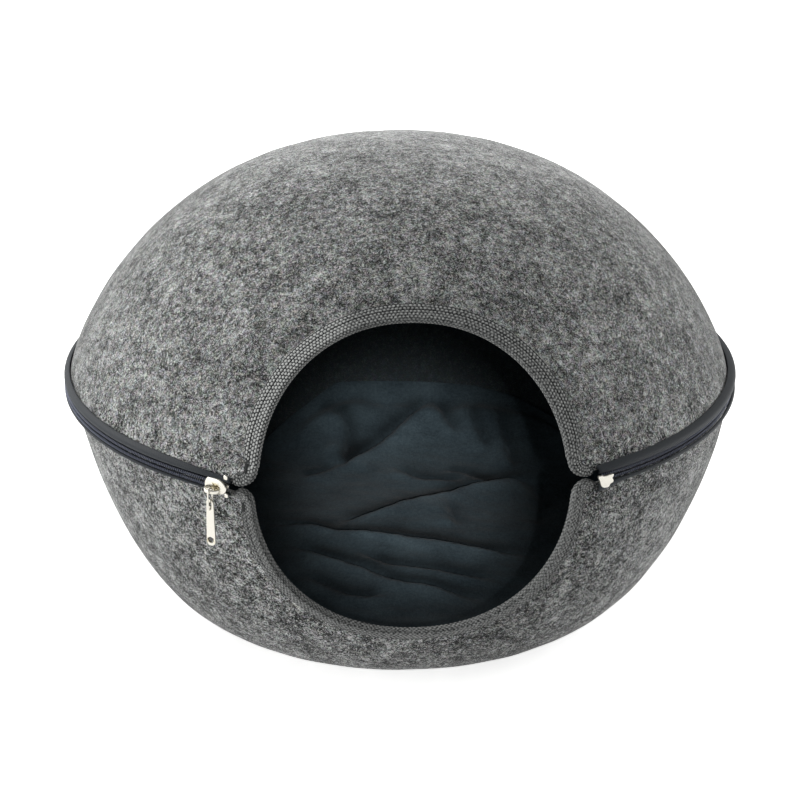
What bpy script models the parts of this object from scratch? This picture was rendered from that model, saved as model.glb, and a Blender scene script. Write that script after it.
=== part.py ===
"""Felt cat cave: two moulded felt halves joined by a zip round the middle, with a bound
round doorway at the front and a plush mat on the floor.

Metres, +Z up.  The origin is the middle of the flat base and the doorway faces -Y.
Angles round the cave ("around") are measured from the front, -Y, towards +X.
Each half is one curved wall.  "turn" runs from 0 at the zip to 1 at its pole or base.
"""
import math
from collections import namedtuple

import bmesh
import bpy
import numpy as np

MM = 0.001

# ---------------------------------------------------------------- driving sizes
SEAM_HEIGHT = 141.4 * MM      # middle of the zip above the floor
FELT = 3.0 * MM               # moulded felt
CLEAR = 0.3 * MM              # gap between pieces that touch

Half = namedtuple("Half", "up rim pole reach side_power crown_power edge")
# up: which way the half goes; rim: felt radius at the zip; pole: radius of the flat end;
# reach: from the zip to the end; powers: how square the side and the crown are;
# edge: where the felt's cut edge lies, off the zip's middle
UPPER = Half(1, 197.4 * MM, 0.0, 135.6 * MM, 2.344, 1.386, 2.3 * MM)
LOWER = Half(-1, 197.2 * MM, 114.6 * MM, SEAM_HEIGHT, 2.0, 1.375, 1.95 * MM)

WAVE = 0.7 * MM               # the moulded felt is out of round by this much
WAVE_LOBES = 3
LEAN = 2.4 * MM               # the lower half bulges this much more towards +X
LEAN_POWER = 0.6              # and most of it not far below the zip

Doorway = namedtuple("Doorway", "half_width height corner squareness")
# the felt's cut line, in the front view; corner is its radius beside the zip
DOOR = {
    UPPER: Doorway(84.9 * MM, 83.2 * MM, 9.7 * MM, 2.1),
    LOWER: Doorway(87.3 * MM, 93.4 * MM, 7.0 * MM, 2.27),
}

BINDING = 0.9 * MM            # thickness of the folded knit tape
Leg = namedtuple("Leg", "at_zip side far")
# how far it reaches over the felt: beside the zip, at the doorway's side, and at its far
# end, where the lower one is stretched and so narrower
BINDING_LEG = {UPPER: Leg(5.4 * MM, 8.9 * MM, 8.9 * MM), LOWER: Leg(5.4 * MM, 6.8 * MM, 4.8 * MM)}
BINDING_OUTSIDE_GAP = 0.4 * MM
BINDING_INSIDE_GAP = 0.9 * MM
BINDING_END = math.radians(29.2)
BINDING_WIDENS_AT = 6.0 * MM  # rise off the cut edge at which the leg starts to widen
BINDING_WIDENS_OVER = 20.0 * MM
BINDING_STRETCH_AT = 40.0 * MM  # rise at which the leg starts to turn to its far width
BINDING_STRETCH_OVER = 45.0 * MM

CHAIN_RADIUS = 200.4 * MM     # outer face of the zip's closed coil
CHAIN_DEPTH = 1.9 * MM
CHAIN_HALF_HEIGHT = 2.6 * MM
TAPE = 1.1 * MM               # thickness of the zip's tape
TAPE_TOP = {UPPER: 6.8 * MM, LOWER: 5.9 * MM}  # the tape's far edge, off the zip's middle
TAPE_CREST = 201.3 * MM       # radius where the tape stands proudest
TAPE_SWAY = 0.8 * MM          # it stands this much prouder at +X, and less at -X
TAPE_CREST_AT_SLIDER = 200.2 * MM
TAPE_EASE = math.radians(7.0)  # the tape drops to the slider over this angle
TAPE_TUCK = 0.6 * MM          # and is this much narrower there
TAPE_END_LEFT = math.radians(-29.4)
TAPE_END_RIGHT = math.radians(29.9)

SLIDER_ANGLE = math.radians(-31.5)
SLIDER_LENGTH = 13.6 * MM
SLIDER_HEIGHT = 10.0 * MM
SLIDER_PLATE = 1.4 * MM
SLIDER_GAP = 0.5 * MM         # between the front plate and the coil
STOP_ANGLE = math.radians(-29.6)
BLOCK_ANGLE = math.radians(30.6)
BLOCK_LENGTH = 10.0 * MM
BLOCK_HEIGHT = 8.3 * MM
PULL_ANGLE = math.radians(-31.9)
PULL_RADIUS = 205.6 * MM      # the pull hangs straight down, this far from the middle
PULL_DROP = 8.7 * MM          # its top below the zip's middle
PULL_LENGTH = 25.9 * MM
PULL_TOP_WIDTH = 4.4 * MM
PULL_END_WIDTH = 5.6 * MM
PULL_THICKNESS = 1.5 * MM
EYE_DROP = 3.0 * MM           # the eye's middle below the pull's top
PULL_EYE = 1.2 * MM           # radius of the eye, and of the hole near the round end
PULL_HOLE = 1.5 * MM
PULL_HOLE_RISE = 3.6 * MM     # the hole's middle above the round end
STOP_OFF = 5.2 * MM           # each stop's middle off the zip's middle
STOP_HALF_LENGTH = 1.4 * MM
STOP_HALF_HEIGHT = 1.5 * MM
STOP_DEPTH = 1.1 * MM
BLOCK_DEPTH = 2.0 * MM

MAT_THICKNESS = 25.0 * MM     # in the middle of the floor
MAT_CROWN = 3.0 * MM          # the middle stands this much higher
MAT_LIFT = 0.6 * MM           # clearance to the felt under it
MAT_RIM_INSET = 2.5 * MM      # the rim's upper edge stands this far off the wall
MAT_RIM_DEPTH = 5.0 * MM      # thickness of the rim

SEGMENTS = 60                 # facets round the cave, shared by all turned pieces
WALL_RINGS = 14
MAT_CELLS = 22                # cells across the mat
MAT_CLIMB_START = 0.42        # share of the mat's reach at which it starts up the wall
MAT_CLIMB_POWER = 2.2
MAT_CROWN_SPAN = 0.8          # half waves of the crown from the middle to the rim
MAT_FLOOR_SHARE = 0.6         # share of the underside that lies flat
CREASE_FADE_START = 0.86      # the creases die out towards the rim
CREASE_FADE_SPAN = 0.12
SWELL_OFFSET = 2.6            # a crease's swelling, off its line and wide, in crease widths
SWELL_WIDTH = 1.6


# ---------------------------------------------------------------- the curved wall
def smooth_step(share):
    """0 before 0, 1 after 1, and an even turn in between."""
    share = np.clip(share, 0.0, 1.0)
    return share * share * (3 - 2 * share)


def wall_radius(half, turn):
    angle = np.clip(turn, 0.0, 1.0) * math.pi / 2
    return half.pole + (half.rim - half.pole) * np.cos(angle) ** (2 / half.side_power)


def wall_rise(half, turn):
    angle = np.clip(turn, 0.0, 1.0) * math.pi / 2
    return half.reach * np.sin(angle) ** (2 / half.crown_power)


def turn_at_rise(half, rise):
    """The turn at which the wall is this far from the zip's middle."""
    sine = np.clip(np.asarray(rise) / half.reach, 0.0, 1.0) ** (half.crown_power / 2)
    return np.arcsin(sine) * 2 / math.pi


def lean_at(half, turn):
    """How far the lower half bulges towards +X at this turn."""
    bend = np.clip(turn, 0.0, 1.0) ** LEAN_POWER
    return LEAN * np.sin(math.pi * bend) if half is LOWER else 0.0


def wall_face(half, around, turn):
    """Points on the outer face, a little out of round between the zip and the pole."""
    swell = np.sin(math.pi * np.clip(turn, 0.0, 1.0))
    radius = wall_radius(half, turn) + WAVE * swell * np.cos(WAVE_LOBES * around)
    x = radius * np.sin(around) + lean_at(half, turn)
    y = -radius * np.cos(around)
    z = SEAM_HEIGHT + half.up * wall_rise(half, turn)
    return np.stack([x, y, z], -1)


def wall_normal(half, around, turn):
    """Outward normals, from differences along and across the wall."""
    step = 1e-3
    low = np.clip(turn - step, 0.0, 1.0 - 2 * step)
    along = wall_face(half, around, low + 2 * step) - wall_face(half, around, low)
    across = wall_face(half, around + step, turn) - wall_face(half, around - step, turn)
    normal = half.up * np.cross(across, along)
    return normal / np.linalg.norm(normal, axis=-1, keepdims=True)


def wall_point(half, around, turn, depth=0.0):
    """Points this deep under the outer face (negative stands proud of it)."""
    around, turn = np.broadcast_arrays(np.asarray(around, float), np.asarray(turn, float))
    return wall_face(half, around, turn) - depth * wall_normal(half, around, turn)


def around_at_x(half, x, turn):
    """The angle from the front at which the wall has this x, by fixed-point steps."""
    around = np.arcsin(np.clip(x / wall_radius(half, turn), -1.0, 1.0))
    for _ in range(6):
        miss = wall_face(half, around, turn)[..., 0] - x
        around = around - miss / (wall_radius(half, turn) * np.cos(around))
    return around


def even_turns(half, first, count):
    """Turns from first to 1, at equal steps along the wall's section."""
    fine = np.linspace(first, 1.0, 400)
    section = np.stack([wall_radius(half, fine), wall_rise(half, fine)], -1)
    length = np.concatenate([[0.0], np.cumsum(np.linalg.norm(np.diff(section, axis=0), axis=1))])
    return np.interp(np.linspace(0.0, length[-1], count), length, fine)


# ---------------------------------------------------------------- mesh helpers
def material(name, hex_colour, roughness, metallic=0.0):
    made = bpy.data.materials.new(name)
    made.use_nodes = True
    channels = [int(hex_colour[i:i + 2], 16) / 255 for i in (0, 2, 4)]
    linear = [c / 12.92 if c <= 0.04045 else ((c + 0.055) / 1.055) ** 2.4 for c in channels]
    shader = made.node_tree.nodes["Principled BSDF"]
    shader.inputs["Base Color"].default_value = (*linear, 1.0)
    shader.inputs["Roughness"].default_value = roughness
    shader.inputs["Metallic"].default_value = metallic
    return made


def add_object(name, points, faces, finish, smooth_angle=40.0):
    mesh = bpy.data.meshes.new(name)
    mesh.from_pydata([tuple(p) for p in points], [], faces)
    cleaned = bmesh.new()
    cleaned.from_mesh(mesh)
    bmesh.ops.recalc_face_normals(cleaned, faces=cleaned.faces)
    if cleaned.calc_volume(signed=True) < 0:
        bmesh.ops.reverse_faces(cleaned, faces=cleaned.faces)
    cleaned.to_mesh(mesh)
    cleaned.free()
    mesh.materials.append(finish)
    mesh.shade_smooth()
    mesh.set_sharp_from_angle(angle=math.radians(smooth_angle))
    made = bpy.data.objects.new(name, mesh)
    bpy.context.scene.collection.objects.link(made)
    return made


def ring_faces(first, second):
    """Quads between two closed rings of the same count, given as vertex numbers."""
    count = len(first)
    return [(first[i], first[(i + 1) % count], second[(i + 1) % count], second[i])
            for i in range(count)]


def add_stack(name, rings, start_pole, end_pole, finish):
    """A closed solid from rings stacked between two pole points."""
    count = len(rings[0])
    points = [p for ring in rings for p in ring] + [start_pole, end_pole]
    index = [list(range(k * count, (k + 1) * count)) for k in range(len(rings))]
    start, end = len(points) - 2, len(points) - 1
    faces = [(start, index[0][(i + 1) % count], index[0][i]) for i in range(count)]
    for first, second in zip(index, index[1:]):
        faces += ring_faces(first, second)
    faces += [(index[-1][i], index[-1][(i + 1) % count], end) for i in range(count)]
    return add_object(name, points, faces, finish)


def add_loft(name, sections, finish, smooth_angle=40.0):
    """A closed solid from a row of closed sections, with a flat cap at each end."""
    count = len(sections[0])
    points = [p for section in sections for p in section]
    index = [list(range(k * count, (k + 1) * count)) for k in range(len(sections))]
    faces = [tuple(reversed(index[0])), tuple(index[-1])]
    for first, second in zip(index, index[1:]):
        faces += ring_faces(first, second)
    return add_object(name, points, faces, finish, smooth_angle)


def cut(target, cutter):
    """Cut the target with a guide solid, which the model leaves out."""
    cutter.hide_render = True
    cutter.display_type = "WIRE"
    modifier = target.modifiers.new("cut", "BOOLEAN")
    modifier.operation = "DIFFERENCE"
    modifier.solver = "EXACT"
    modifier.object = cutter


def join_solid(target, added):
    """Fuse a guide solid into the target, so that both are one piece."""
    added.hide_render = True
    added.display_type = "WIRE"
    modifier = target.modifiers.new("join", "BOOLEAN")
    modifier.operation = "UNION"
    modifier.solver = "EXACT"
    modifier.object = added


# ---------------------------------------------------------------- the doorway's cut line
def doorway_line(half):
    """The felt's cut line in the front view, as x and rise, from -X to +X.

    An arch (superellipse) over the opening, with a rounded corner at each foot that
    turns outwards along the zip.
    """
    door = DOOR[half]
    foot = half.edge + door.corner
    corner_angle = np.radians(np.linspace(-90.0, 0.0, 6))
    corner_x = -door.half_width - door.corner + door.corner * np.cos(corner_angle)
    corner_rise = foot + door.corner * np.sin(corner_angle)
    power = 2 / door.squareness
    first = math.asin((foot / door.height) ** (1 / power))
    arch_angle = np.linspace(math.pi - first, first, 27)[1:-1]
    arch_cosine = np.cos(arch_angle)
    arch_x = door.half_width * np.sign(arch_cosine) * np.abs(arch_cosine) ** power
    arch_rise = door.height * np.sin(arch_angle) ** power
    x = np.concatenate([corner_x, arch_x, -corner_x[::-1]])
    rise = np.concatenate([corner_rise, arch_rise, corner_rise[::-1]])
    return x, rise


def doorway_cutter(half):
    """A solid whose walls cross the felt squarely along the cut line."""
    reach = 15 * MM
    x, rise = doorway_line(half)
    turn = turn_at_rise(half, rise)
    around = around_at_x(half, x, turn)
    outer = wall_point(half, around, turn, -reach)
    inner = wall_point(half, around, turn, FELT + reach)
    below = np.array([0.0, 0.0, -half.up * 3 * reach])
    outer = np.concatenate([[outer[0] + below], outer, [outer[-1] + below]])
    inner = np.concatenate([[inner[0] + below], inner, [inner[-1] + below]])
    count = len(outer)
    outer_middle = outer.mean(0)
    outer_middle[1] = -(half.rim + 3 * reach)
    points = np.concatenate([outer, inner, [outer_middle, inner.mean(0)]])
    faces = ring_faces(list(range(count)), list(range(count, 2 * count)))
    faces += [(2 * count, (i + 1) % count, i) for i in range(count)]
    faces += [(2 * count + 1, count + i, count + (i + 1) % count) for i in range(count)]
    name = "doorway_guide_upper" if half is UPPER else "doorway_guide_lower"
    return add_object(name, points, faces, bpy.data.materials["felt"])


# ---------------------------------------------------------------- felt halves
def felt_half(name, half):
    """One moulded half: an outer and an inner skin, the doorway cut through both."""
    around = np.arange(SEGMENTS) * 2 * math.pi / SEGMENTS
    turns = even_turns(half, float(turn_at_rise(half, half.edge)), WALL_RINGS)
    if half is UPPER:
        turns = turns[:-1]
    outer = [wall_point(half, around, t) for t in turns]
    inner = [wall_point(half, around, t, FELT) for t in turns]
    edge_height = SEAM_HEIGHT + half.up * half.edge
    inner[0][:, 2] = edge_height
    end = SEAM_HEIGHT + half.up * half.reach
    outer_pole = np.array([0.0, 0.0, end])
    inner_pole = np.array([0.0, 0.0, end - half.up * FELT])
    shell = add_stack(name, outer[::-1] + inner, outer_pole, inner_pole,
                      bpy.data.materials["felt"])
    cut(shell, doorway_cutter(half))
    return shell


# ---------------------------------------------------------------- binding of the doorway
def binding_line(half):
    """The cut line carried on along the zip to the binding's two ends."""
    x, rise = doorway_line(half)
    turn = turn_at_rise(half, rise)
    around = around_at_x(half, x, turn)
    end_turn = turn_at_rise(half, half.edge)
    around = np.concatenate([[-BINDING_END], around, [BINDING_END]])
    turn = np.concatenate([[end_turn], turn, [end_turn]])
    rise = np.concatenate([[half.edge], rise, [half.edge]])
    return around, turn, rise


def doorway_binding(name, half):
    """A knit tape folded over the felt's cut edge, as one U section along the line."""
    around, turn, rise = binding_line(half)
    edge = wall_point(half, around, turn)
    normal = wall_normal(half, around, turn)
    tangent = np.gradient(edge, axis=0)
    into_felt = half.up * np.cross(normal, tangent)
    into_felt /= np.linalg.norm(into_felt, axis=1, keepdims=True)

    spread = smooth_step((rise - half.edge - BINDING_WIDENS_AT) / BINDING_WIDENS_OVER)
    stretch = smooth_step((rise - BINDING_STRETCH_AT) / BINDING_STRETCH_OVER)
    width = BINDING_LEG[half]
    leg = width.at_zip + (width.side - width.at_zip) * spread + (width.far - width.side) * stretch

    out, inn = BINDING_OUTSIDE_GAP, -FELT - BINDING_INSIDE_GAP
    fold = -BINDING_OUTSIDE_GAP
    middle = (out + inn) / 2
    # share of the leg, distance past the felt's edge, and height over the outer face
    section = (
        (1.0, 0.0, out), (1.0, 0.0, out + BINDING * 0.8), (0.5, 0.0, out + BINDING),
        (0.0, 0.0, out + BINDING), (0.0, fold - BINDING * 0.8, out + BINDING * 0.2),
        (0.0, fold - BINDING, middle), (0.0, fold - BINDING * 0.8, inn - BINDING * 0.2),
        (0.0, 0.0, inn - BINDING), (0.8, 0.0, inn - BINDING), (0.8, 0.0, inn),
        (0.4, 0.0, inn), (0.0, fold, inn), (0.0, fold, out), (0.5, 0.0, out),
    )
    sections = []
    for k in range(len(around)):
        points = []
        for share, past, height in section:
            start = edge[k] + (share * leg[k] + past) * into_felt[k]
            points.append(on_wall(half, start, height) if share > 0 else start + height * normal[k])
        sections.append(points)
    return add_loft(name, sections, bpy.data.materials["knit binding"])


def on_wall(half, point, height):
    """The point moved on to the wall and lifted this far off its outer face."""
    rise = max((point[2] - SEAM_HEIGHT) * half.up, 0.0)
    turn = float(turn_at_rise(half, rise))
    around = math.atan2(point[0] - lean_at(half, turn), -point[1])
    return wall_point(half, around, turn, -height)


# ---------------------------------------------------------------- zip
def ring_angles(start, end):
    """The shared facet angles between two ends, the long way round the back."""
    step = 2 * math.pi / SEGMENTS
    first = math.ceil((start + 1e-6) / step)
    last = math.floor((end - 1e-6) / step)
    return np.array([start] + [k * step for k in range(first, last + 1)] + [end])


def zip_angles():
    return ring_angles(TAPE_END_RIGHT, 2 * math.pi + TAPE_END_LEFT)


def turned_point(radius, around, height):
    return np.array([radius * math.sin(around), -radius * math.cos(around), height])


def zip_tape(name, half):
    """The tape sewn over the felt's edge: flat on the felt, proud beside the coil."""
    sections = []
    for around in zip_angles():
        ease = float(smooth_step(abs(2 * math.pi + SLIDER_ANGLE - around) / TAPE_EASE))
        proudest = TAPE_CREST + TAPE_SWAY * math.sin(around)
        crest = TAPE_CREST_AT_SLIDER + (proudest - TAPE_CREST_AT_SLIDER) * ease
        top = TAPE_TOP[half] - TAPE_TUCK * (1 - ease)
        turn = turn_at_rise(half, top)
        foot = float(wall_radius(half, turn) + lean_at(half, turn) * math.sin(around))
        foot += CLEAR + WAVE * 0.3
        near = CHAIN_HALF_HEIGHT + CLEAR
        lip, fold, shoulder = 0.9 * MM, near + 0.8 * MM, top - 1.3 * MM
        # radius and distance off the zip's middle: up the outer face, down the inner
        profile = (
            (crest - lip, near), (crest, fold), (crest - lip / 2, shoulder),
            (foot + TAPE, top), (foot, top), (crest - lip * 0.7 - TAPE, shoulder),
            (crest - lip / 4 - TAPE, fold), (crest - lip - TAPE, near),
        )
        sections.append([turned_point(radius, around, SEAM_HEIGHT + half.up * off)
                         for radius, off in profile])
    return add_loft(name, sections, bpy.data.materials["zip tape"])


def zip_coil(name, half):
    """One row of the closed coil, from the slider to the end block."""
    outside, inside = CHAIN_RADIUS, CHAIN_RADIUS - CHAIN_DEPTH
    low, high = CLEAR / 2, CHAIN_HALF_HEIGHT
    round_off = 0.6 * MM
    profile = ((outside, low), (outside, high - round_off), (outside - round_off, high),
               (inside, high), (inside, low))
    start = BLOCK_ANGLE
    end = 2 * math.pi + SLIDER_ANGLE
    sections = [[turned_point(radius, around, SEAM_HEIGHT + half.up * off)
                 for radius, off in profile] for around in ring_angles(start, end)]
    return add_loft(name, sections, bpy.data.materials["nylon coil"])


# ---------------------------------------------------------------- zip hardware
def plate_object(name, outline, back, front, around, finish, height=SEAM_HEIGHT):
    """A plate cut to an outline (along, up) and standing between two radii."""
    sections = []
    for radius in (back, front):
        centre = turned_point(radius, around, height)
        sideways = np.array([math.cos(around), math.sin(around), 0.0])
        sections.append([centre + along * sideways + np.array([0, 0, up])
                         for along, up in outline])
    return add_loft(name, sections, finish, smooth_angle=50.0)


EIGHTH = math.pi / 4


def ellipse_outline(half_length, half_height, count, squareness=2.0, start=0.0):
    angle = start + np.arange(count) * 2 * math.pi / count
    power = 2 / squareness
    along = half_length * np.sign(np.cos(angle)) * np.abs(np.cos(angle)) ** power
    up = half_height * np.sign(np.sin(angle)) * np.abs(np.sin(angle)) ** power
    return list(zip(along, up))


def bevel(target, width):
    modifier = target.modifiers.new("soft edges", "BEVEL")
    modifier.width = width
    modifier.segments = 2
    modifier.limit_method = "ANGLE"
    modifier.angle_limit = math.radians(50)


def zip_slider():
    """Front and back plates on a post, with the bridge that carries the link."""
    metal = bpy.data.materials["cast metal"]
    plate_back = CHAIN_RADIUS + SLIDER_GAP
    plate_front = plate_back + SLIDER_PLATE
    shield = [(SLIDER_LENGTH / 2 * along, SLIDER_HEIGHT / 2 * up) for along, up in (
        (-1.0, -0.5), (-0.8, -0.78), (-0.2, -0.86), (0.25, -1.0), (0.62, -0.85), (1.0, -0.3),
        (1.0, 0.3), (0.62, 0.85), (0.25, 1.0), (-0.2, 0.86), (-0.8, 0.78), (-1.0, 0.5))]
    slider = plate_object("zip_slider", shield, plate_back, plate_front, SLIDER_ANGLE, metal)
    bevel(slider, 0.35 * MM)

    behind_chain = CHAIN_RADIUS - CHAIN_DEPTH - CLEAR
    back_half_length, back_half_height, back_depth = 5.4 * MM, 1.5 * MM, 1.6 * MM
    back = plate_object("slider_back_guide",
                        ellipse_outline(back_half_length, back_half_height, 8, 4.0, EIGHTH / 2),
                        behind_chain - back_depth, behind_chain, SLIDER_ANGLE, metal)
    join_solid(slider, back)
    post_ahead, post_half_length, post_half_height, post_sink = 3.4 * MM, 1.6 * MM, 1.3 * MM, 0.6 * MM
    post = plate_object("slider_post_guide",
                        ellipse_outline(post_half_length, post_half_height, 8),
                        behind_chain - post_sink, plate_back + post_sink,
                        SLIDER_ANGLE + post_ahead / CHAIN_RADIUS, metal)
    join_solid(slider, post)

    # the bridge: a flat strap bent up off the front plate and back down to it
    bridge_middle, half_span, lift, sink = -2.2 * MM, 4.2 * MM, 4.2 * MM, 0.4 * MM
    half_thick, half_wide, lowered = 0.6 * MM, 1.1 * MM, 1.8 * MM
    across = np.array([math.cos(SLIDER_ANGLE), math.sin(SLIDER_ANGLE), 0.0])
    outwards = np.array([math.sin(SLIDER_ANGLE), -math.cos(SLIDER_ANGLE), 0.0])
    strap = []
    for bend in np.linspace(0.0, math.pi, 9):
        along = bridge_middle - half_span * math.cos(bend)
        middle = outwards * (plate_front - sink + lift * math.sin(bend)) + across * along
        middle[2] = SEAM_HEIGHT - lowered
        radial = outwards * math.sin(bend) - across * math.cos(bend)
        strap.append([middle + radial * a + np.array([0, 0, b]) for a, b in (
            (-half_thick, -half_wide), (half_thick, -half_wide),
            (half_thick, half_wide), (-half_thick, half_wide))])
    join_solid(slider, add_loft("slider_bridge_guide", strap, metal))
    return slider


def pull_place(drop):
    """A point this far below the zip's middle on the line in which the pull hangs."""
    return turned_point(PULL_RADIUS, PULL_ANGLE, SEAM_HEIGHT - drop)


def pull_link():
    """The wire loop through the bridge: a flat long ring, hanging in the radial plane."""
    wire, wire_sides = 0.5 * MM, 6
    half_out, half_up, drop, bends = 2.1 * MM, 6.25 * MM, 6.15 * MM, 20
    outline = ellipse_outline(half_out, half_up, bends, squareness=4.0, start=math.pi / 40)
    centre = pull_place(drop)
    outwards = np.array([math.sin(PULL_ANGLE), -math.cos(PULL_ANGLE), 0.0])
    sideways = np.array([math.cos(PULL_ANGLE), math.sin(PULL_ANGLE), 0.0])
    upwards = np.array([0.0, 0.0, 1.0])
    rings = []
    for k, (out, up) in enumerate(outline):
        ahead = np.array(outline[(k + 1) % len(outline)]) - np.array(outline[k - 1])
        ahead /= np.linalg.norm(ahead)
        away = outwards * ahead[1] - upwards * ahead[0]
        middle = centre + outwards * out + upwards * up
        rings.append([middle + wire * (away * math.cos(t) + sideways * math.sin(t))
                      for t in np.arange(wire_sides) * 2 * math.pi / wire_sides])
    points = [p for ring in rings for p in ring]
    index = [list(range(wire_sides * k, wire_sides * (k + 1))) for k in range(len(rings))]
    faces = []
    for k in range(len(rings)):
        faces += ring_faces(index[k], index[(k + 1) % len(rings)])
    return add_object("zip_pull_link", points, faces, bpy.data.materials["cast metal"])


def zip_pull():
    """The tapered pull, with an eye at the top and a hole near its round end."""
    metal = bpy.data.materials["cast metal"]
    half_top, half_end = PULL_TOP_WIDTH / 2, PULL_END_WIDTH / 2
    round_end = [(half_end * math.cos(a), -PULL_LENGTH + half_end + half_end * math.sin(a))
                 for a in np.radians(np.linspace(0, -180, 9))]
    round_top = [(half_top * math.cos(a), -half_top + half_top * math.sin(a))
                 for a in np.radians(np.linspace(180, 0, 7))]
    height = pull_place(PULL_DROP)[2]
    pull = plate_object("zip_pull", round_end + round_top, PULL_RADIUS - PULL_THICKNESS / 2,
                        PULL_RADIUS + PULL_THICKNESS / 2, PULL_ANGLE, metal, height=height)
    for name, drop, hole in (("pull_eye_guide", EYE_DROP, PULL_EYE),
                             ("pull_hole_guide", PULL_LENGTH - PULL_HOLE_RISE, PULL_HOLE)):
        cutter = plate_object(name, ellipse_outline(hole, hole, 10),
                              PULL_RADIUS - 2 * PULL_THICKNESS, PULL_RADIUS + 2 * PULL_THICKNESS,
                              PULL_ANGLE, metal, height=height - drop)
        cut(pull, cutter)
    return pull


def zip_stop(name, side):
    """A small metal clip crimped on the tape's edge beyond the slider."""
    outline = ellipse_outline(STOP_HALF_LENGTH, STOP_HALF_HEIGHT, 8, 4.0, EIGHTH / 2)
    front = TAPE_CREST_AT_SLIDER + CLEAR
    return plate_object(name, outline, front, front + STOP_DEPTH, STOP_ANGLE,
                        bpy.data.materials["cast metal"], height=SEAM_HEIGHT + side * STOP_OFF)


def end_block():
    """The metal clamp that closes the zip's other end, with stubs bent over the tapes."""
    outline = [(BLOCK_LENGTH / 2 * along, BLOCK_HEIGHT / 2 * up) for along, up in (
        (-1.0, 0.56), (-0.96, 1.0), (-0.12, 0.68), (0.6, 0.78), (0.96, 0.66), (0.98, 0.4),
        (0.78, 0.2), (1.0, -0.17), (0.94, -0.47), (0.54, -0.54), (0.42, -1.0), (-0.36, -0.88),
        (-0.66, -0.49), (-0.76, 0.05))]
    front = TAPE_CREST + TAPE_SWAY * math.sin(BLOCK_ANGLE) + CLEAR
    block = plate_object("zip_end_block", outline, front, front + BLOCK_DEPTH, BLOCK_ANGLE,
                         bpy.data.materials["cast metal"])
    bevel(block, 0.4 * MM)
    return block


# ---------------------------------------------------------------- mat
Fold = namedtuple("Fold", "start middle end depth width bulge")
# the mat's main creases, in plan (mm from the middle, +Y to the back): a trough of this
# depth and half-width along a curved line, with a swelling on its front side
FOLDS = (
    Fold((-86, 10), (-10, -8), (90, -50), 6.0, 5.0, 4.0),
    Fold((-62, 20), (8, 22), (112, 68), 7.0, 6.0, 5.0),
    Fold((-70, -36), (-20, -78), (52, -104), 5.0, 5.0, 3.0),
    Fold((32, 160), (10, 120), (-62, 88), 6.0, 5.0, 3.0),
    Fold((-40, 150), (-34, 120), (-34, 98), 4.0, 5.0, 2.0),
    Fold((40, 150), (52, 120), (62, 96), 3.5, 6.0, 2.5),
)
# how high the mat climbs the wall, by degrees round from the front
MAT_RIM = ((0, 36), (50, 36), (100, 41), (135, 52), (150, 61), (160, 64), (180, 64), (192, 65),
           (200, 54), (215, 36), (260, 32), (320, 34), (360, 36))


def fold_relief(x, y):
    """Height added by the creases at plan points, in metres."""
    relief = np.zeros_like(x)
    for fold in FOLDS:
        start, middle, end = (np.array(p) * MM for p in (fold.start, fold.middle, fold.end))
        share = np.linspace(0.0, 1.0, 25)[:, None]
        line = start * (1 - share) ** 2 + 2 * middle * share * (1 - share) + end * share ** 2
        away = np.stack([x, y], -1)[..., None, :] - line
        distance = np.linalg.norm(away, axis=-1)
        nearest = distance.argmin(-1)
        near = distance.min(-1)
        side = np.take_along_axis(away[..., 1], nearest[..., None], -1)[..., 0]
        width = fold.width * MM
        trough = np.exp(-(near / width) ** 2)
        swell_off = (near - SWELL_OFFSET * width) / (SWELL_WIDTH * width)
        swell = np.exp(-swell_off ** 2) * (side < 0)
        relief += MM * (fold.bulge * swell - fold.depth * trough)
    return relief


def mat_rim_height(around):
    degrees, heights = zip(*MAT_RIM)
    return np.interp(np.degrees(np.mod(around, 2 * math.pi)), degrees, heights) * MM


def mat_reach(around):
    """Radius at which the mat's rim meets the wall."""
    turn = turn_at_rise(LOWER, SEAM_HEIGHT - mat_rim_height(around))
    return wall_radius(LOWER, turn) - FELT - MAT_LIFT - MAT_RIM_INSET


def mat_top_height(x, y):
    """The mat's upper face: crowned on the floor and climbing the wall all round."""
    around = np.arctan2(x, -y)
    reach = np.hypot(x, y) / mat_reach(around)
    climb = np.clip((reach - MAT_CLIMB_START) / (1 - MAT_CLIMB_START), 0.0, 1.0)
    climb = climb ** MAT_CLIMB_POWER
    crown = MAT_CROWN * np.cos(reach * math.pi * MAT_CROWN_SPAN)
    floor = FELT + MAT_LIFT + MAT_THICKNESS + crown
    fade = 1 - np.clip((reach - CREASE_FADE_START) / CREASE_FADE_SPAN, 0.0, 1.0)
    return floor + (mat_rim_height(around) - floor) * climb + fade * fold_relief(x, y)


def mat_underside(share, around):
    """Points of the lower face: flat on the floor, then up the wall to the rim."""
    under = FELT + MAT_LIFT
    rim_turn = turn_at_rise(LOWER, SEAM_HEIGHT - mat_rim_height(around) + MAT_RIM_DEPTH)
    up_wall = np.clip((share - MAT_FLOOR_SHARE) / (1 - MAT_FLOOR_SHARE), 0.0, 1.0)
    wall = wall_point(LOWER, around, 1 - up_wall * (1 - rim_turn), under)
    radius = LOWER.pole * share / MAT_FLOOR_SHARE
    floor = np.stack([radius * np.sin(around), -radius * np.cos(around),
                      np.full_like(around, under)], -1)
    return np.where((share < MAT_FLOOR_SHARE)[..., None], floor, wall)


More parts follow.
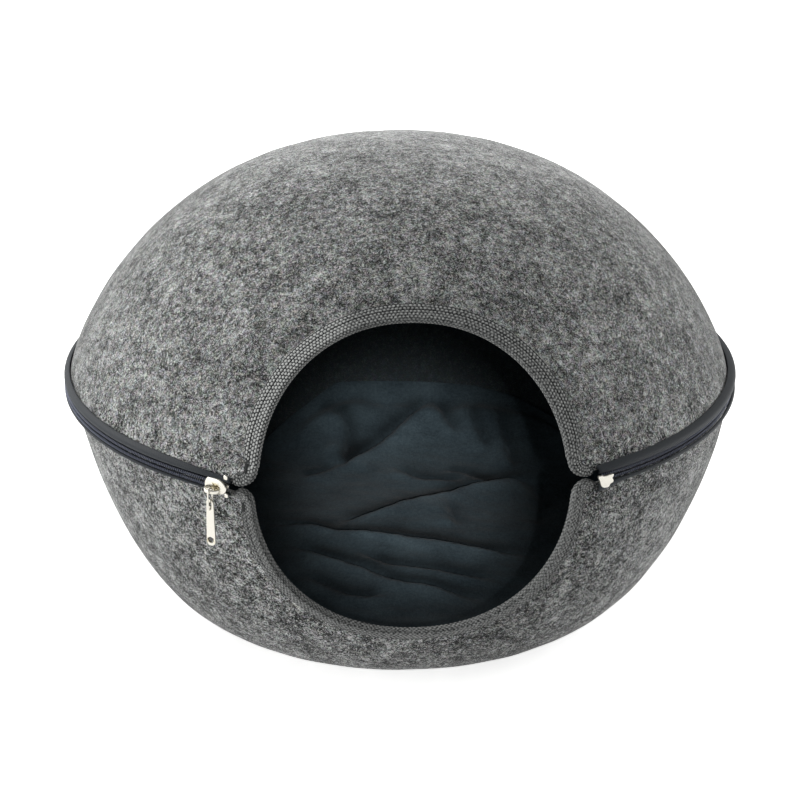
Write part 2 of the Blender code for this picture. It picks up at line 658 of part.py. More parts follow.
def plush_mat():
    """One filled pad that lies on the floor and laps up the wall, with its creases.

    Both faces are square grids bent to a disc, so that no crease meets a pole.
    """
    line = np.linspace(-1.0, 1.0, MAT_CELLS + 1)
    across, back = np.meshgrid(line, line)
    disc_x = across * np.sqrt(1 - back ** 2 / 2)
    disc_y = back * np.sqrt(1 - across ** 2 / 2)
    share = np.clip(np.hypot(disc_x, disc_y), 0.0, 1.0)
    around = np.arctan2(disc_x, -disc_y)
    reach = mat_reach(around) * share
    x, y = reach * np.sin(around), -reach * np.cos(around)
    top = np.stack([x, y, mat_top_height(x, y)], -1)
    under = mat_underside(share, around)

    count = MAT_CELLS + 1
    number = np.arange(count * count).reshape(count, count)
    faces = []
    for offset, flip in ((0, False), (count * count, True)):
        for i in range(MAT_CELLS):
            for j in range(MAT_CELLS):
                quad = (number[i, j], number[i, j + 1], number[i + 1, j + 1], number[i + 1, j])
                quad = tuple(int(v) + offset for v in quad)
                faces.append(quad[::-1] if flip else quad)
    rim = [*number[0, :-1], *number[:-1, -1], *number[-1, :0:-1], *number[:0:-1, 0]]
    rim = [int(v) for v in rim]
    faces += ring_faces([v + count * count for v in rim], rim)
    points = np.concatenate([top.reshape(-1, 3), under.reshape(-1, 3)])
    return add_object("plush_mat", points, faces, bpy.data.materials["plush"])


# ---------------------------------------------------------------- build
def clear_scene():
    for item in list(bpy.data.objects):
        bpy.data.objects.remove(item, do_unlink=True)


def make_materials():
    material("felt", "858786", 0.95)
    material("knit binding", "6c6e6e", 0.9)
    material("zip tape", "4f555b", 0.6)
    material("nylon coil", "3a4048", 0.45)
    material("cast metal", "d8d6cf", 0.25, metallic=1.0)
    material("plush", "2c363b", 0.95)


def main():
    clear_scene()
    make_materials()
    felt_half("upper_shell", UPPER)
    felt_half("lower_shell", LOWER)
    doorway_binding("binding_upper", UPPER)
    doorway_binding("binding_lower", LOWER)
    zip_tape("zip_tape_upper", UPPER)
    zip_tape("zip_tape_lower", LOWER)
    zip_coil("zip_coil_upper", UPPER)
    zip_coil("zip_coil_lower", LOWER)
    zip_slider()
    pull_link()
    zip_pull()
    zip_stop("zip_stop_upper", 1)
    zip_stop("zip_stop_lower", -1)
    end_block()
    plush_mat()


main()
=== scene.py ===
# %% [markdown]
# # A felt cat cave, piece by piece
#
# A felt cat cave is an egg-shaped shelter.  Two halves are moulded from thick needle felt
# and joined by a zip round the middle.  A round doorway is cut through both at the front,
# its raw edge is bound with knit tape, and a dark plush mat lies inside.
#
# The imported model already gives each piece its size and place.  This lesson dresses it:
# every visible piece is made again as a fine surface in the space of its plain solid.

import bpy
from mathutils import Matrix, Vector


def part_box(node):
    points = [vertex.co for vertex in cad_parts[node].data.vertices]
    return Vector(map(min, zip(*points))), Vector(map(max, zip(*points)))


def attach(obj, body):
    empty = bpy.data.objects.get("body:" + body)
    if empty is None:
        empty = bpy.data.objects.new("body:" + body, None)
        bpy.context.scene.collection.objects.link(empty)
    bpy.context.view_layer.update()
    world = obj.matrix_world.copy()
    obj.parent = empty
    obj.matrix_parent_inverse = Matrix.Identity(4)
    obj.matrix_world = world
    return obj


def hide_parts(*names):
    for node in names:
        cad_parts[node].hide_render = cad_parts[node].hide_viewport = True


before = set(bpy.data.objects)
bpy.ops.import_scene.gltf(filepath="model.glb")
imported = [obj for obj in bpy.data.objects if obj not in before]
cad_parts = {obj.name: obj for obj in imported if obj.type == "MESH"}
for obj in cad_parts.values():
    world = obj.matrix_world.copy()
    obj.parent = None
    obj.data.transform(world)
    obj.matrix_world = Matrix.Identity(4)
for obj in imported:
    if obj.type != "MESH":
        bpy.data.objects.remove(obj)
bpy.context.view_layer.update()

# %% [markdown]
# ## Tools for the whole lesson
#
# Each surface is a grid of points worked out by a formula in numpy.  Three helpers turn such
# a grid into a mesh: one numbers its quads, one closes the open end of a tube, and one fills
# a Blender mesh with whole arrays, which is far quicker than adding vertices one by one.

# %% Numbers, quads and meshes
import math
from collections import namedtuple

import bpy
import numpy as np
from mathutils import Vector

MM = 0.001
TAU = 2 * math.pi


def smooth_step(share):
    """0 before 0, 1 after 1, and 3s^2 - 2s^3 in between."""
    share = np.clip(share, 0.0, 1.0)
    return share * share * (3 - 2 * share)


def unit(vectors):
    """Each vector divided by its own length."""
    return vectors / np.linalg.norm(vectors, axis=-1, keepdims=True)


def length_so_far(points):
    """The length of each row of points up to every point in it."""
    steps = np.diff(points, axis=-2, prepend=points[..., :1, :])
    return np.cumsum(np.linalg.norm(steps, axis=-1), axis=-1)


def grid_quads(rows, columns, wrap_rows=False, wrap_columns=False):
    """Quads between neighbouring points of a grid numbered row by row."""
    i = np.arange(rows if wrap_rows else rows - 1)[:, None]
    j = np.arange(columns if wrap_columns else columns - 1)[None, :]
    below, right = (i + 1) % rows, (j + 1) % columns
    corners = (i * columns + j, i * columns + right, below * columns + right, below * columns + j)
    return np.stack(np.broadcast_arrays(*corners), -1).reshape(-1, 4)


def fan(ring, centre):
    """Triangles from a closed ring of vertex numbers to one vertex."""
    ring = np.asarray(ring)
    return np.stack([np.full(len(ring), centre), ring, np.roll(ring, -1)], -1)


def outward(points, quads, triangles):
    """The same faces, turned round if the volume they enclose comes out negative."""
    split = np.concatenate([quads[:, (0, 1, 2)], quads[:, (0, 2, 3)], triangles])
    p, q, r = (points[split[:, k]] for k in range(3))
    if np.sum(p * np.cross(q, r)) < 0:
        return quads[:, ::-1], triangles[:, ::-1]
    return quads, triangles


def mesh_piece(name, points, quads, finishes, triangles=(), uv=None, values=None, middle=(0, 0, 0)):
    """One object from arrays: quads, then triangles, each facing away from the middle.

    uv gives each point its place on the cloth, and values a number that a material reads.
    """
    points = sagged(np.asarray(points, float).reshape(-1, 3))
    quads = np.asarray(quads, np.int32).reshape(-1, 4)
    triangles = np.asarray(triangles, np.int32).reshape(-1, 3)
    quads, triangles = outward(points - np.array(middle), quads, triangles)
    corners = np.concatenate([quads.ravel(), triangles.ravel()])
    starts = np.concatenate([4 * np.arange(len(quads)),
                             4 * len(quads) + 3 * np.arange(len(triangles))])
    mesh = bpy.data.meshes.new(name)
    mesh.vertices.add(len(points))
    mesh.vertices.foreach_set("co", points.astype(np.float32).ravel())
    mesh.loops.add(len(corners))
    mesh.loops.foreach_set("vertex_index", corners.astype(np.int32))
    mesh.polygons.add(len(starts))
    mesh.polygons.foreach_set("loop_start", starts.astype(np.int32))
    if uv is not None:
        layer = mesh.uv_layers.new(name="cloth")
        layer.data.foreach_set("uv", np.asarray(uv, np.float32).reshape(-1, 2)[corners].ravel())
    mesh.update(calc_edges=True)
    for key, numbers in (values or {}).items():
        attribute = mesh.attributes.new(key, "FLOAT", "POINT")
        attribute.data.foreach_set("value", np.asarray(numbers, np.float32).ravel())
    mesh.shade_smooth()
    for finish in finishes if isinstance(finishes, (list, tuple)) else [finishes]:
        mesh.materials.append(finish)
    made = bpy.data.objects.new(name, mesh)
    bpy.context.scene.collection.objects.link(made)
    print(f"{name}: {len(points)} points, {len(quads) * 2 + len(triangles)} triangles")
    return made


def tube(name, sections, finish, uv=None, values=None):
    """A closed tube from a row of closed sections (sections, points, xyz), with fan caps."""
    rows, columns = sections.shape[:2]
    points = sections.reshape(-1, 3)
    quads = grid_quads(rows, columns, wrap_columns=True)
    points = np.concatenate([points, [sections[0].mean(0), sections[-1].mean(0)]])
    first, last = np.arange(columns), (rows - 1) * columns + np.arange(columns)
    count = rows * columns
    triangles = np.concatenate([fan(first, count)[:, ::-1], fan(last, count + 1)])
    if uv is not None:
        uv = np.concatenate([uv.reshape(-1, 2), [uv[0].mean(0), uv[-1].mean(0)]])
    if values is not None:
        values = {k: np.concatenate([v.ravel(), [v[0].mean(), v[-1].mean()]])
                  for k, v in values.items()}
    return mesh_piece(name, points, quads, finish, triangles, uv, values)


# %% [markdown]
# ## One helper for materials
#
# Every finish is a small network of nodes.  One function adds a node, sets its values and
# draws its links.  Colours are written as the sRGB hex that an eye-dropper shows, and one
# function turns them to the linear light that the renderer counts in.

# %% Colours and nodes
FIRST, SECOND, MIXED = 6, 7, 2        # a Mix node's colour sockets by number: two in, one out


def linear(hex_colour):
    """sRGB hex to linear red, green, blue, alpha."""
    parts = [int(hex_colour[i:i + 2], 16) / 255 for i in (0, 2, 4)]
    return (*[p / 12.92 if p <= 0.04045 else ((p + 0.055) / 1.055) ** 2.4 for p in parts], 1.0)


def node(tree, kind, inputs=None, **settings):
    """One node of a kind, with its settings, and a value or a link for each socket given.

    Sockets that share a name go by number: 0 and 1 are what Math works on, and MapRange takes
    0 from between 1 and 2 to between 3 and 4.
    """
    made = tree.nodes.new("ShaderNode" + kind)
    for key, value in settings.items():
        setattr(made, key, value)
    for socket, value in (inputs or {}).items():
        if isinstance(value, bpy.types.NodeSocket):
            tree.links.new(value, made.inputs[socket])
        else:
            made.inputs[socket].default_value = value
    return made


def material(name, **sockets):
    """A material with one Principled shader, its constants set on the shader's own sockets."""
    made = bpy.data.materials.new(name)
    made.use_nodes = True
    shader = made.node_tree.nodes["Principled BSDF"]
    for key, value in sockets.items():
        shader.inputs[key.replace("_", " ")].default_value = value
    return made, made.node_tree, shader


print("paper white in linear light:", round(linear("f4f4f2")[0], 3))

# %% [markdown]
# ## Camera
#
# The picture looks slightly down on the cave, from a little left of the doorway.  A long
# lens from seven half-widths away keeps the egg from bulging.

# %% Camera
AIM = Vector((0.8 * MM, 0.0, 118.0 * MM))
CAMERA_DISTANCE = 1.400
CAMERA_TURN = math.radians(-2.6)      # from straight in front, towards +X
CAMERA_TILT = math.radians(22.21)
SENSOR = 36.0
LENS = SENSOR * 2299 / 800            # the lens that gives this many pixels for 45 degrees

camera_data = bpy.data.cameras.new("photo camera")
camera_data.sensor_width = SENSOR
camera_data.lens = LENS
camera = bpy.data.objects.new("photo camera", camera_data)
back = Vector((math.sin(CAMERA_TURN) * math.cos(CAMERA_TILT),
               -math.cos(CAMERA_TURN) * math.cos(CAMERA_TILT), math.sin(CAMERA_TILT)))
camera.location = AIM + back * CAMERA_DISTANCE
camera.rotation_mode = "QUATERNION"
camera.rotation_quaternion = (-back).to_track_quat("-Z", "Y")
bpy.context.scene.collection.objects.link(camera)
bpy.context.scene.camera = camera
print("camera at", [round(v, 3) for v in camera.location], "with a lens of", round(LENS, 1), "mm")

# %% [markdown]
# ## The curved wall
#
# Both halves are one turned profile.  Going from the zip to the far end, a quarter turn of an
# angle gives the radius by its cosine and the rise by its sine, each raised to a power that
# makes the side fuller and the crown flatter than a circle's.  All that is sewn to the felt is
# placed with the same formula, so nothing needs fitting afterwards.

# %% The wall as a formula
Half = namedtuple("Half", "up rim pole reach side_power crown_power edge")
# up: +1 or -1; rim: felt radius at the zip; pole: radius of the flat end; reach: from zip to end;
# the two powers; edge: the felt's cut edge off the zip's middle
SEAM_HEIGHT = (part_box("zip_coil_upper")[0].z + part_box("zip_coil_lower")[1].z) / 2
UPPER = Half(1, 197.4 * MM, 0.0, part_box("upper_shell")[1].z - SEAM_HEIGHT, 2.344, 1.386, 2.3 * MM)
LOWER = Half(-1, 197.2 * MM, 114.6 * MM, SEAM_HEIGHT, 2.0, 1.375, 1.95 * MM)
FELT = 3.0 * MM
WAVE, WAVE_LOBES = 0.7 * MM, 3        # the moulded felt is out of round by this much
# the slider's weight draws the wall down here, and this far round and up
SAG, SAG_ANGLE, SAG_WIDTH, SAG_HEIGHT = 2.0 * MM, math.radians(-28.0), math.radians(6.0), 22 * MM
LEAN, LEAN_POWER = 2.4 * MM, 0.6      # the lower half bulges this much more towards +X


def sagged(points):
    """z - sag * e^-(angle / width)^2 * e^-(height off the zip / height)^2, out at the wall."""
    around = np.arctan2(points[:, 0], -points[:, 1])
    near = np.exp(-((around - SAG_ANGLE) / SAG_WIDTH) ** 2
                  - ((points[:, 2] - SEAM_HEIGHT) / SAG_HEIGHT) ** 2)
    near = near * smooth_step((np.hypot(points[:, 0], points[:, 1]) - 178 * MM) / (10 * MM))
    return points - np.outer(SAG * near, (0.0, 0.0, 1.0))


def wall_radius(half, turn):
    """pole + (rim - pole) * cos(turn * 90 degrees) ^ (2 / side power)."""
    return half.pole + (half.rim - half.pole) * np.cos(turn * math.pi / 2) ** (2 / half.side_power)


def turn_at_rise(half, rise):
    """The turn at which sin(turn * 90 degrees) ^ (2 / crown power) * reach is this rise."""
    return np.arcsin(np.clip(rise / half.reach, 0.0, 1.0) ** (half.crown_power / 2)) * 2 / math.pi


def lean_at(half, turn):
    """The lower half's sideways bulge, none at the zip and none at the base."""
    bend = np.clip(turn, 0.0, 1.0) ** LEAN_POWER
    return LEAN * np.sin(math.pi * bend) if half is LOWER else 0.0 * bend


def wall_face(half, around, turn):
    """Points of the outer face at these angles from the front and turns from the zip."""
    radius = wall_radius(half, turn) + WAVE * np.sin(math.pi * turn) * np.cos(WAVE_LOBES * around)
    rise = half.reach * np.sin(turn * math.pi / 2) ** (2 / half.crown_power)
    return np.stack([radius * np.sin(around) + lean_at(half, turn), -radius * np.cos(around),
                     SEAM_HEIGHT + half.up * rise], -1)


def wall_normal(half, around, turn, step=1e-3):
    """Outward normals, from small steps along and across the wall."""
    low = np.clip(turn - step, 0.0, 1.0 - 2 * step)
    along = wall_face(half, around, low + 2 * step) - wall_face(half, around, low)
    across = wall_face(half, around + step, turn) - wall_face(half, around - step, turn)
    return unit(half.up * np.cross(across, along))


def wall_point(half, around, turn, height=0.0):
    """Points this high over the outer face (negative lies inside the felt)."""
    around, turn = np.broadcast_arrays(np.asarray(around, float), np.asarray(turn, float))
    height = np.asarray(height, float)[..., None]
    return wall_face(half, around, turn) + height * wall_normal(half, around, turn)


def around_at_x(half, x, turn):
    """The angle at which the wall has this x, by a few corrected guesses."""
    around = np.arcsin(np.clip(x / wall_radius(half, turn), -1.0, 1.0))
    for _ in range(6):
        miss = wall_face(half, around, turn)[..., 0] - x
        around = around - miss / (wall_radius(half, turn) * np.cos(around))
    return around


def on_wall(half, points, height):
    """Points moved on to the wall at their own height above the floor, then lifted off it."""
    turn = turn_at_rise(half, np.maximum((points[..., 2] - SEAM_HEIGHT) * half.up, 0.0))
    around = np.arctan2(points[..., 0] - lean_at(half, turn), -points[..., 1])
    return wall_point(half, around, turn, height)


def waves(points, length, seed, count=7):
    """A soft unevenness from -1 to 1: plane waves of about this length, in seeded directions."""
    draw = np.random.default_rng(seed)
    ways = unit(draw.normal(size=(count, 3)))
    ways *= TAU / length * draw.uniform(0.6, 1.5, (count, 1))
    return np.sin(points @ ways.T + draw.uniform(0, TAU, count)).sum(-1) / count ** 0.5 / 1.6


print("zip", round(SEAM_HEIGHT / MM, 1), "mm up, dome", round(UPPER.reach / MM, 1), "mm above it")

# %% [markdown]
# ## Needle felt
#
# The shell is polyester needle felt: short light and dark fibres, punched together by barbed
# needles, so the eye sees curly threads about a millimetre across and soft blotches where one
# shade gathers.  It is matt, with a fuzz that lightens the grazing edges.  A noise cut where
# it crosses its own middle gives curly lines for the threads; two finer and two coarser
# noises give the grain and the blotches.  Painted shade darkens the felt towards the base.
# The inner face is the same felt in near-black slate, which is partly painted shade for the
# dim inside of the cave.

# %% Felt
FeltLayer = namedtuple("FeltLayer", "scale detail weight line stretch")
# scale per mm; detail; share in the colour; width of a fibre line drawn where the noise
# crosses its middle (0: plain noise); warp of the place it is read from, in mm
FELT_LAYERS = (
    FeltLayer(0.30, 1.0, 0.82, 0.085, 2.0),    # curly threads, 3 mm across a curl
    FeltLayer(0.52, 1.0, 0.66, 0.10, 1.2),     # shorter ones
    FeltLayer(1.10, 2.0, 1.62, 0.0, 0.0),      # single fibres and the pits between them
    FeltLayer(0.26, 2.0, 1.50, 0.0, 0.0),      # tufts
    FeltLayer(0.10, 2.0, 1.00, 0.0, 0.0),      # blotches
    FeltLayer(0.045, 2.0, 0.85, 0.0, 0.0),     # clouds of one shade
)


def felt_finish(name, dark_hex, light_hex, depth, contrast=1.0, sheen=1.0):
    """Curly fibre lines over blotches, in millimetres of Object coordinates."""
    made, tree, shader = material(name, Roughness=0.95, Sheen_Weight=sheen, Sheen_Roughness=0.3,
                                  Specular_IOR_Level=0.15)
    place = node(tree, "TexCoord").outputs["Object"]
    in_mm = node(tree, "Mapping", {"Vector": place, "Scale": (1000.0, 1000.0, 1000.0)}).outputs[0]
    for k, layer in enumerate(FELT_LAYERS):
        aside = (17.0 * k, 5.0 * k, 9.0 * k)          # no two layers read the same place
        at = node(tree, "Mapping", {"Vector": in_mm, "Location": aside}).outputs[0]
        noise = node(tree, "TexNoise", {"Vector": at, "Scale": layer.scale, "Detail": layer.detail,
                                        "Roughness": 0.55, "Distortion": layer.stretch}).outputs[0]
        shade = node(tree, "Math", {0: noise, 1: 0.5}, operation="SUBTRACT").outputs[0]
        if layer.line:
            off = node(tree, "Math", {0: shade}, operation="ABSOLUTE").outputs[0]
            shade = node(tree, "MapRange", {0: off, 1: 0.0, 2: layer.line, 3: 0.72, 4: -0.28},
                         interpolation_type="SMOOTHSTEP").outputs[0]
        weight = layer.weight * contrast
        shade = node(tree, "Math", {0: shade, 1: weight}, operation="MULTIPLY").outputs[0]
        total = shade if k == 0 else node(tree, "Math", {0: total, 1: shade}).outputs[0]
    # the lower half's pattern is clearer, and painted shade darkens it towards the base;
    # raised hairs catch more sheen
    height = node(tree, "SeparateXYZ", {"Vector": place}).outputs["Z"]
    clearness = node(tree, "MapRange", {0: height, 1: SEAM_HEIGHT - 0.02, 2: SEAM_HEIGHT + 0.02,
                                        3: 1.14, 4: 0.58}).outputs[0]
    # painted shade: the felt is darker lower down, towards the base
    low = node(tree, "MapRange", {0: height, 1: 0.01, 2: SEAM_HEIGHT,
                                  3: -0.26, 4: 0.0}).outputs[0]
    total = node(tree, "Math", {0: total, 1: clearness, 2: low},
                 operation="MULTIPLY_ADD").outputs[0]
    hair = node(tree, "MapRange", {0: total, 1: -0.45, 2: 0.45,
                                   3: 0.35 * sheen, 4: sheen}).outputs[0]
    share = node(tree, "MapRange", {0: total, 1: -0.75, 2: 0.95},
                 interpolation_type="SMOOTHSTEP").outputs[0]
    share = node(tree, "Math", {0: share, 1: 1.9}, operation="POWER").outputs[0]
    grey = node(tree, "Mix", {0: share, FIRST: linear(dark_hex), SECOND: linear(light_hex)},
                data_type="RGBA").outputs[MIXED]
    # dyed fibres: a faint tint from place to place
    dye = node(tree, "TexNoise", {"Vector": in_mm, "Scale": 0.45, "Detail": 2.0}).outputs["Color"]
    colour = node(tree, "Mix", {0: 0.24, FIRST: grey, SECOND: dye}, data_type="RGBA",
                  blend_type="OVERLAY").outputs[MIXED]
    bump = node(tree, "Bump", {"Height": total, "Distance": depth, "Strength": 0.7})
    tree.links.new(colour, shader.inputs["Base Color"])
    tree.links.new(hair, shader.inputs["Sheen Weight"])
    tree.links.new(bump.outputs[0], shader.inputs["Normal"])
    return made


needle_felt = felt_finish("grey melange needle felt", "242625", "e8eae8", 0.13 * MM)
# the inner face's near-black slate is partly painted shade, for the dim inside of the cave
inner_felt_with_painted_shade = felt_finish("slate inner face of the felt", "343b3e", "51595b", 0.3 * MM, 0.6, 0.1)
print("felt:", len(needle_felt.node_tree.nodes), "nodes")

# %% [markdown]
# ## The doorway's cut line
#
# Each half carries half of the doorway: an arch, which is a superellipse, with a small rounded
# corner at each foot where it turns out along the zip.

# %% The cut line
Doorway = namedtuple("Doorway", "half_width height corner squareness")
# the arch's half width and its height off the zip's middle; the corner's radius; the power n
DOOR = {UPPER: Doorway(84.9 * MM, 83.2 * MM, 9.7 * MM, 2.1),
        LOWER: Doorway(87.3 * MM, 93.4 * MM, 7.0 * MM, 2.27)}
GAPE = {UPPER: 1.4 * MM, LOWER: 2.6 * MM}    # the zip's ends leave the two edges this far apart
GAPE_FROM, GAPE_TO = (28.1, 1.9), (30.8, 3.0)      # in degrees: where, and over how many more
CORNER_POINTS, ARCH_POINTS, ZIP_POINTS = 40, 241, 80


def gape_at(half, around):
    """Extra rise of the bound edge: from none at the corner to all beside the zip's end."""
    off = np.degrees(np.abs(np.mod(around + math.pi, TAU) - math.pi))
    opening, closing = (smooth_step((off - at) / over) for at, over in (GAPE_FROM, GAPE_TO))
    return GAPE[half] * opening * (1 - closing)


def cut_line(half, reach_round, count=4000):
    """The felt's cut edge, along the zip to +-reach_round and over the arch.

    Corner: a quarter circle.  Arch: |x / half width| ^ n + |rise / height| ^ n = 1.
    The answers are angle, turn, rise and length so far, at points evenly spaced.
    """
    door = DOOR[half]
    foot = half.edge + door.corner
    bend = np.radians(np.linspace(-90.0, 0.0, CORNER_POINTS))
    corner_x = -door.half_width - door.corner + door.corner * np.cos(bend)
    corner_rise = foot + door.corner * np.sin(bend)
    power = 2 / door.squareness
    first = math.asin((foot / door.height) ** (1 / power))
    arch = np.linspace(math.pi - first, first, ARCH_POINTS)[1:-1]
    arch_x = door.half_width * np.sign(np.cos(arch)) * np.abs(np.cos(arch)) ** power
    x = np.concatenate([corner_x, arch_x, -corner_x[::-1]])
    rise = np.concatenate([corner_rise, door.height * np.sin(arch) ** power, corner_rise[::-1]])
    turn = turn_at_rise(half, rise)
    around = around_at_x(half, x, turn)
    along = np.linspace(0.0, 1.0, ZIP_POINTS)[1:] ** 2
    left = around[0] + (-reach_round - around[0]) * along[::-1]
    right = around[-1] + (reach_round - around[-1]) * along
    around = np.concatenate([left, around, right])
    rise = np.concatenate([0 * along + half.edge, rise, 0 * along + half.edge])
    rise = rise + gape_at(half, around) * (rise < foot + door.corner)
    turn = turn_at_rise(half, rise)
    length = length_so_far(wall_point(half, around, turn))
    at = np.linspace(0.0, length[-1], count)
    return [np.interp(at, length, v) for v in (around, turn, rise)] + [at]


for each, word in ((UPPER, "upper"), (LOWER, "lower")):
    print(word, "cut line is", round(cut_line(each, math.radians(29.2))[3][-1] / MM), "mm long")

# %% [markdown]
# ## The felt halves
#
# Each half is a bowl with a notch.  Its grid has one column from each point of the cut edge
# to the middle of the crown or base: a column starts on the doorway's line or the zip's edge,
# and drifts to an even spacing on its way.  So the grid follows the doorway exactly and needs
# no cutting.  Solidify then gives it the felt's 3 mm, with the dark face inside.

# %% Felt halves
FELT_COLUMNS, FELT_ROWS, BASE_RINGS = 340, 58, 18
UNEVEN, UNEVEN_LENGTH = 0.22 * MM, 34 * MM         # the face's soft lumps, and how far apart


def felt_half(name, half):
    """around = edge + (even - edge) * (1 - (1 - v)^2), turn even in length, v from edge to pole."""
    around, turn, _, at = cut_line(half, math.pi)
    middle = at[-1] / 2                       # the arch's top, where the columns start
    start = middle + np.arange(FELT_COLUMNS) / FELT_COLUMNS * at[-1]
    edge_around = np.interp(start % at[-1], at, around) + TAU * (start >= at[-1])
    edge_turn = np.interp(start % at[-1], at, turn)
    even = TAU * np.arange(FELT_COLUMNS) / FELT_COLUMNS
    fine = np.linspace(0.0, 1.0, 2000)
    length = length_so_far(wall_face(half, 0.0 * fine, fine))
    v = np.linspace(0.0, 1.0, FELT_ROWS)[:, None]
    if half is UPPER:
        v = v[:-1]
    from_edge = np.interp(edge_turn, fine, length)
    turns = np.interp(from_edge + (length[-1] - from_edge) * v, length, fine)
    arounds = edge_around + (even - edge_around) * (1 - (1 - v) ** 2)
    points = wall_face(half, arounds, turns)
    lift = UNEVEN * waves(points, UNEVEN_LENGTH, 3) * (turns < 0.98)
    points = points + lift[..., None] * wall_normal(half, arounds, turns)
    if half is LOWER:
        share = np.linspace(1.0, 0.0, BASE_RINGS + 1)[1:-1, None]
        radius = half.pole * share
        base = np.stack([radius * np.sin(even), -radius * np.cos(even), 0.0 * radius * even], -1)
        points = np.concatenate([points, base])
    rows = len(points)
    pole = [0.0, 0.0, SEAM_HEIGHT + half.up * half.reach]
    points[..., 2] = np.clip(points[..., 2], 0.0, pole[2] if half is UPPER else 1.0)
    last = (rows - 1) * FELT_COLUMNS + np.arange(FELT_COLUMNS)
    made = mesh_piece(name, np.concatenate([points.reshape(-1, 3), [pole]]),
                      grid_quads(rows, FELT_COLUMNS, wrap_columns=True), [needle_felt, inner_felt_with_painted_shade],
                      fan(last, rows * FELT_COLUMNS), middle=(0, 0, SEAM_HEIGHT))
    wall = made.modifiers.new("felt thickness", "SOLIDIFY")
    wall.thickness, wall.offset, wall.material_offset = FELT, -1.0, 1
    return made


upper_felt = felt_half("upper_felt", UPPER)
lower_felt = felt_half("lower_felt", LOWER)

# %% [markdown]
# ## Knit binding round the doorway
#
# The raw felt edge is closed with a knit tape, folded over and sewn through.  Its outer leg
# shows rows of small loops in a staggered lattice.  The section is a U that is swept along
# the cut line in steps fine enough to raise each loop, and a number per point gives the tape's
# tone there: painted highlights on the loops, painted shade between them, in the fold and
# beside the zip's end, and painted light on the upper tape's left side.

# %% Binding
TAPE_THICK, SNUG = 0.75 * MM, 0.25 * MM      # knit tape, and its gap to the felt
BINDING_END = math.radians(29.2)
BINDING_STEP = 0.33 * MM                      # six or more of these make a loop
HEM, HEM_POINTS, LEG_POINTS = 0.45 * MM, 4, 34
FOLD_SQUARENESS, FOLD_POINTS = 2.5, 22
STITCH_SHARE, STITCH = 0.55, 0.30 * MM        # a sunk line at this share of the leg
SEAM_IN, SEAM = 0.5 * MM, 0.35 * MM           # and another just inside the hem
# how high the tape's outer and inner faces lie over the felt's outer face
BINDING_OUT, BINDING_IN = SNUG + TAPE_THICK, -FELT - SNUG - TAPE_THICK
Knit = namedtuple("Knit", "at_zip side far along across rise base show")
# width of the outer leg beside the zip, at the doorway's side and at its far end; size of a
# loop along and across the tape, and how far it stands up; share of light thread between the
# loops, and the painted highlight that a loop adds
KNIT = {UPPER: Knit(5.4 * MM, 8.9 * MM, 8.9 * MM, 2.1 * MM, 1.65 * MM, 0.42 * MM, 0.07, 0.72),
        LOWER: Knit(5.4 * MM, 6.8 * MM, 4.8 * MM, 2.6 * MM, 1.10 * MM, 0.30 * MM, 0.12, 0.62)}


def powered(angle, power):
    """cos and sin of the angle, each raised to this power with its sign kept."""
    return [np.sign(side) * np.abs(side) ** power for side in (np.cos(angle), np.sin(angle))]


def knit_loops(knit, u, s):
    """Relief from 0 to 1: loops in staggered rows, u along the tape and s across it."""
    row = np.floor(s / knit.across)
    in_row = (u / knit.along + 0.5 * np.mod(row, 2) + 0.12 * np.sin(u / (9 * MM) + row)) % 1.0
    across = s / knit.across % 1.0
    bump = np.sin(math.pi * in_row) ** 1.3 * np.sin(math.pi * across)
    return np.clip(bump, 0.0, 1.0)


def outer_skin(leg):
    """The tape's outer face, from the hem over the leg and the fold.

    Each point has v into the felt from its edge and h over its face; s is the length from the
    felt's edge, measured along the face.
    """
    hem = np.radians(np.linspace(0, 90, HEM_POINTS))[:-1]
    top = np.linspace(1.0, 0.0, LEG_POINTS)
    bend = np.radians(np.linspace(90, -90, FOLD_POINTS))[1:-1]
    fold_v, fold_h = powered(bend, 2 / FOLD_SQUARENESS)
    fold_h = (BINDING_OUT + BINDING_IN) / 2 + (BINDING_OUT - BINDING_IN) / 2 * fold_h
    v = np.concatenate([leg - HEM + HEM * np.cos(hem), (leg - HEM) * top,
                        0 * leg - BINDING_OUT * fold_v], 1)
    h = np.concatenate([SNUG + TAPE_THICK * np.sin(hem), BINDING_OUT + 0 * top, fold_h])
    skin = np.stack([v, h + 0 * leg], -1)
    from_hem = length_so_far(skin)
    return skin, from_hem[:, len(hem) + len(top) - 1][:, None] - from_hem


def knit_tone_and_light(half, around, rise, v, s, loops, sunk):
    """Tone: base + show * loops ^ 1.5, less where a line of stitches is sunk.

    A loop carries a painted highlight and a sunk line painted shade.  The fold lies in painted
    shade, painted light brightens the upper tape on the left, and painted shade darkens it by
    the slider, where the zip tape's end is tucked under.
    """
    # painted highlight on each loop, painted shade in a sunk line of stitches
    tone = KNIT[half].base + KNIT[half].show * loops ** 1.5 - 0.5 * sunk
    # painted shade along the fold
    tone = tone * (1 - 0.45 * np.exp(-((s + 1.2 * MM) / (1.2 * MM)) ** 2))
    # painted light: the upper tape is lighter, with more contrast, on its left side where the light
    # falls
    painted_left_light = smooth_step((-np.degrees(around) - 10) / 12) * (half is UPPER)
    painted_left_light = painted_left_light * smooth_step((rise - 7 * MM) / (8 * MM))
    tone = (tone - 0.14 * painted_left_light) * (1 + 4.4 * painted_left_light)
    # painted shade beside the zip's end by the slider, where the zip tape is tucked under
    tuck = np.exp(-((rise - 10.5 * MM) / (3.8 * MM)) ** 4) * (around < 0)
    tuck = tuck * smooth_step((v - 2.0 * MM) / (2.4 * MM))
    return np.clip(tone, 0, 1) * (1 - tuck) - 0.4 * tuck


